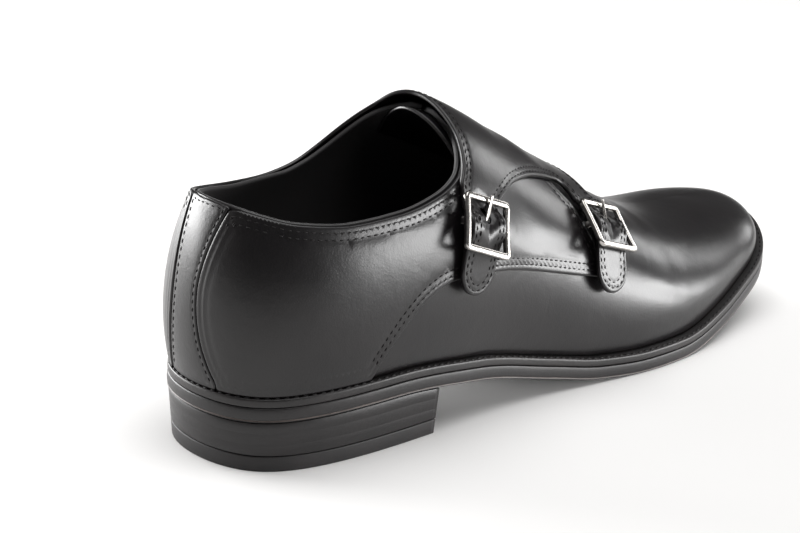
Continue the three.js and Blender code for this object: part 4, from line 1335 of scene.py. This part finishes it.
for name, seat in BUCKLES.items():
    flat = frame_path((FRAME_WIDE - FRAME_BAR) / 2, (FRAME_LONG - FRAME_BAR) / 2, FRAME_CORNER, WAIST)
    path = np.column_stack([flat, FRAME_Z + FRAME_THICK / 2 - FRAME_TILT * flat[:, 1]])
    parts = [swept("ring", seat, path, rounded_section(FRAME_BAR - 0.1, FRAME_THICK, 0.5),
                   [0, FRAME_TILT, 1.0], [nickel], ring=True)]
    bar_x = np.linspace(-BAR_HALF, BAR_HALF, 24)
    bar_path = np.column_stack([bar_x, np.zeros(24), np.full(24, PIN_Z)])
    parts.append(swept("bar", seat, bar_path, rounded_section(2 * PIN, 2 * PIN, 1.0, 20), UP, [nickel]))
    lug_z = np.linspace(PIN_Z - PIN, FRAME_Z + 0.8, 9)
    lug_share = np.array([0.55, 0.85, 1, 1, 1, 1, 1, 1, 1])
    for sign in (-1, 1):
        lug_path = np.column_stack([np.full(9, sign * BAR_HALF), np.zeros(9), lug_z])
        parts.append(swept("lug", seat, lug_path, rounded_section(2.9, 1.7, 0.6, 20), [1.0, 0, 0], [nickel],
                           wide=lug_share, thick=lug_share))
    frame_piece = joined("buckle_ring_" + name, parts)
    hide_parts("buckle_frame_" + name)

    # The prong: a tapered blade from the top of the eye to just over the top bar.
    tip_z = FRAME_Z - FRAME_TILT * PRONG_TIP + FRAME_THICK + GAP + PRONG_REST + 0.3
    ease = np.linspace(0, 1, 30)
    blade = np.column_stack([np.zeros(30), PRONG_FROM + (PRONG_TIP - PRONG_FROM) * ease,
                             PIN_Z + EYE + (tip_z - PIN_Z - EYE) * ease])
    taper = 1 - 0.28 * ease**2 - 0.35 * np.clip((ease - 0.93) / 0.07, 0, 1) ** 2
    blade_piece = swept("blade", seat, blade, rounded_section(2.0, 0.9, 0.7, 22), UP, [nickel],
                        wide=taper, thick=taper)
    round_eye = spokes(np.linspace(0, 2 * np.pi, 40, endpoint=False))
    eye_piece = swept("eye", seat, PIN_Z * UP + EYE * round_eye, rounded_section(2.1, 0.85, 0.6, 20),
                      round_eye, [nickel], ring=True)
    prong = joined("buckle_tongue_" + name, [blade_piece, eye_piece])
    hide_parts("buckle_prong_" + name)

    # The tab: flat on the quarter, then folded round the centre bar.
    s_rows = np.linspace(TAB_TAIL, 0.2, 34)
    tail = wrapped(station_of(seat["y"] + seat["drift"] * s_rows), seat["w"] + seat["per_mm"] * s_rows,
                   np.full(len(s_rows), OVER + TAB / 2))
    tail = (tail - seat["place"]) @ seat["axes"].T
    tail = tail[tail[:, 1] < TAB_FOLD]
    fold = spokes(np.linspace(-np.pi / 2, np.pi * 0.95, 26)[1:])
    tab_path = np.vstack([tail, PIN_Z * UP + (TURN + TAB / 2) * fold])
    tab_up = np.vstack([np.tile(UP, (len(tail), 1)), -fold])
    tab = swept("buckle_tab_leather_" + name, seat, tab_path, rounded_section(2 * TAB_HALF, TAB, 0.25, 44),
                tab_up, [calf], wide=np.clip((tab_path[:, 1] + 17.4) / 2.2, 0.2, 1) ** 0.5)
    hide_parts("buckle_tab_" + name)

# %% [markdown]
# Stitching. Two rows of waxed thread follow every edge that is sewn down: the collar, the strap and its
# arms, the arch and the lower edges of the quarters. Each stitch lies in a shallow groove with its ends
# pulled into the leather. The welt has one coarser row, sewn by a heavier needle.

# %% thread rows
def height_in_groove(lift, thick):
    """A lift at which thread lies in its groove."""
    return lambda a, b: lift(a, b) + thick - 0.12


strap_top = height_in_groove(strap_lift, STRAP)
quarter_top = height_in_groove(flat_lift(QUARTER), OVERLAY)


def above_welt(points, by=3.0):
    """Which points lie clear of the welt."""
    return points[:, 2] > bed(points[:, 1]) + by


def strap_rows_keep(points):
    """Rows end above the welt, and none runs down beside the back strip."""
    beside_strip = (points[:, 1] < 14) & (points[:, 2] < 84)
    return above_welt(points, 6.5) & ~beside_strip


UNDER_STRAP = np.array([(88, 95), (93, 94), (114, 80), (135, 80), (151, 75), (161, 66), (170, 60)])


def quarter_rows_keep(points):
    """As on the strap, and no row where the strap covers the quarter."""
    y, z = points[:, 1], points[:, 2]
    covered = (z > np.interp(y, *UNDER_STRAP.T)) & (y > 90)
    return strap_rows_keep(points) & ~covered


rows = [stitch_row(wrapped, strap_loop, depth, strap_top, strap_rows_keep) for depth in STRAP_SEAMS]
strap_thread = thread_piece("strap_stitching", rows, thread)
rows = [stitch_row(on_last, quarter_loop, depth, quarter_top, quarter_rows_keep) for depth in QUARTER_SEAMS]
quarter_thread = thread_piece("quarter_stitching", rows, thread)
rows = [stitch_row(on_last, strip_loop, STRIP_SEAM, quarter_top, above_welt)]
strip_thread = thread_piece("back_strip_stitching", rows, thread)
welt_path = np.stack([np.linspace(0, AROUND, 1600)[:-1], np.zeros(1599)], 1)


def welt_surface(a, b, by=0.0):
    """The line on the welt that its stitches follow."""
    by = np.broadcast_to(np.asarray(by, float), np.shape(a))
    x, y = outline(a, edge_out(a) * 0.8)
    return np.stack([x, y, bed(y) - 0.1 + by], -1)


rows = [stitch_row(welt_surface, welt_path, 0, flat_lift(0), lambda points: points[:, 2] > 0,
                   length=2.5, pitch=3.3, half=0.42, closed=False)]
welt_thread = thread_piece("welt_stitching", rows, thread)
threads = (strap_thread, quarter_thread, strip_thread, welt_thread)
print("stitch faces:", [len(piece.data.polygons) for piece in threads])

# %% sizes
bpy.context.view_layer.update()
meshes = [thing.data for thing in bpy.data.objects if thing.type == "MESH"]
print("triangles:", sum(len(face.vertices) - 2 for mesh in meshes for face in mesh.polygons))
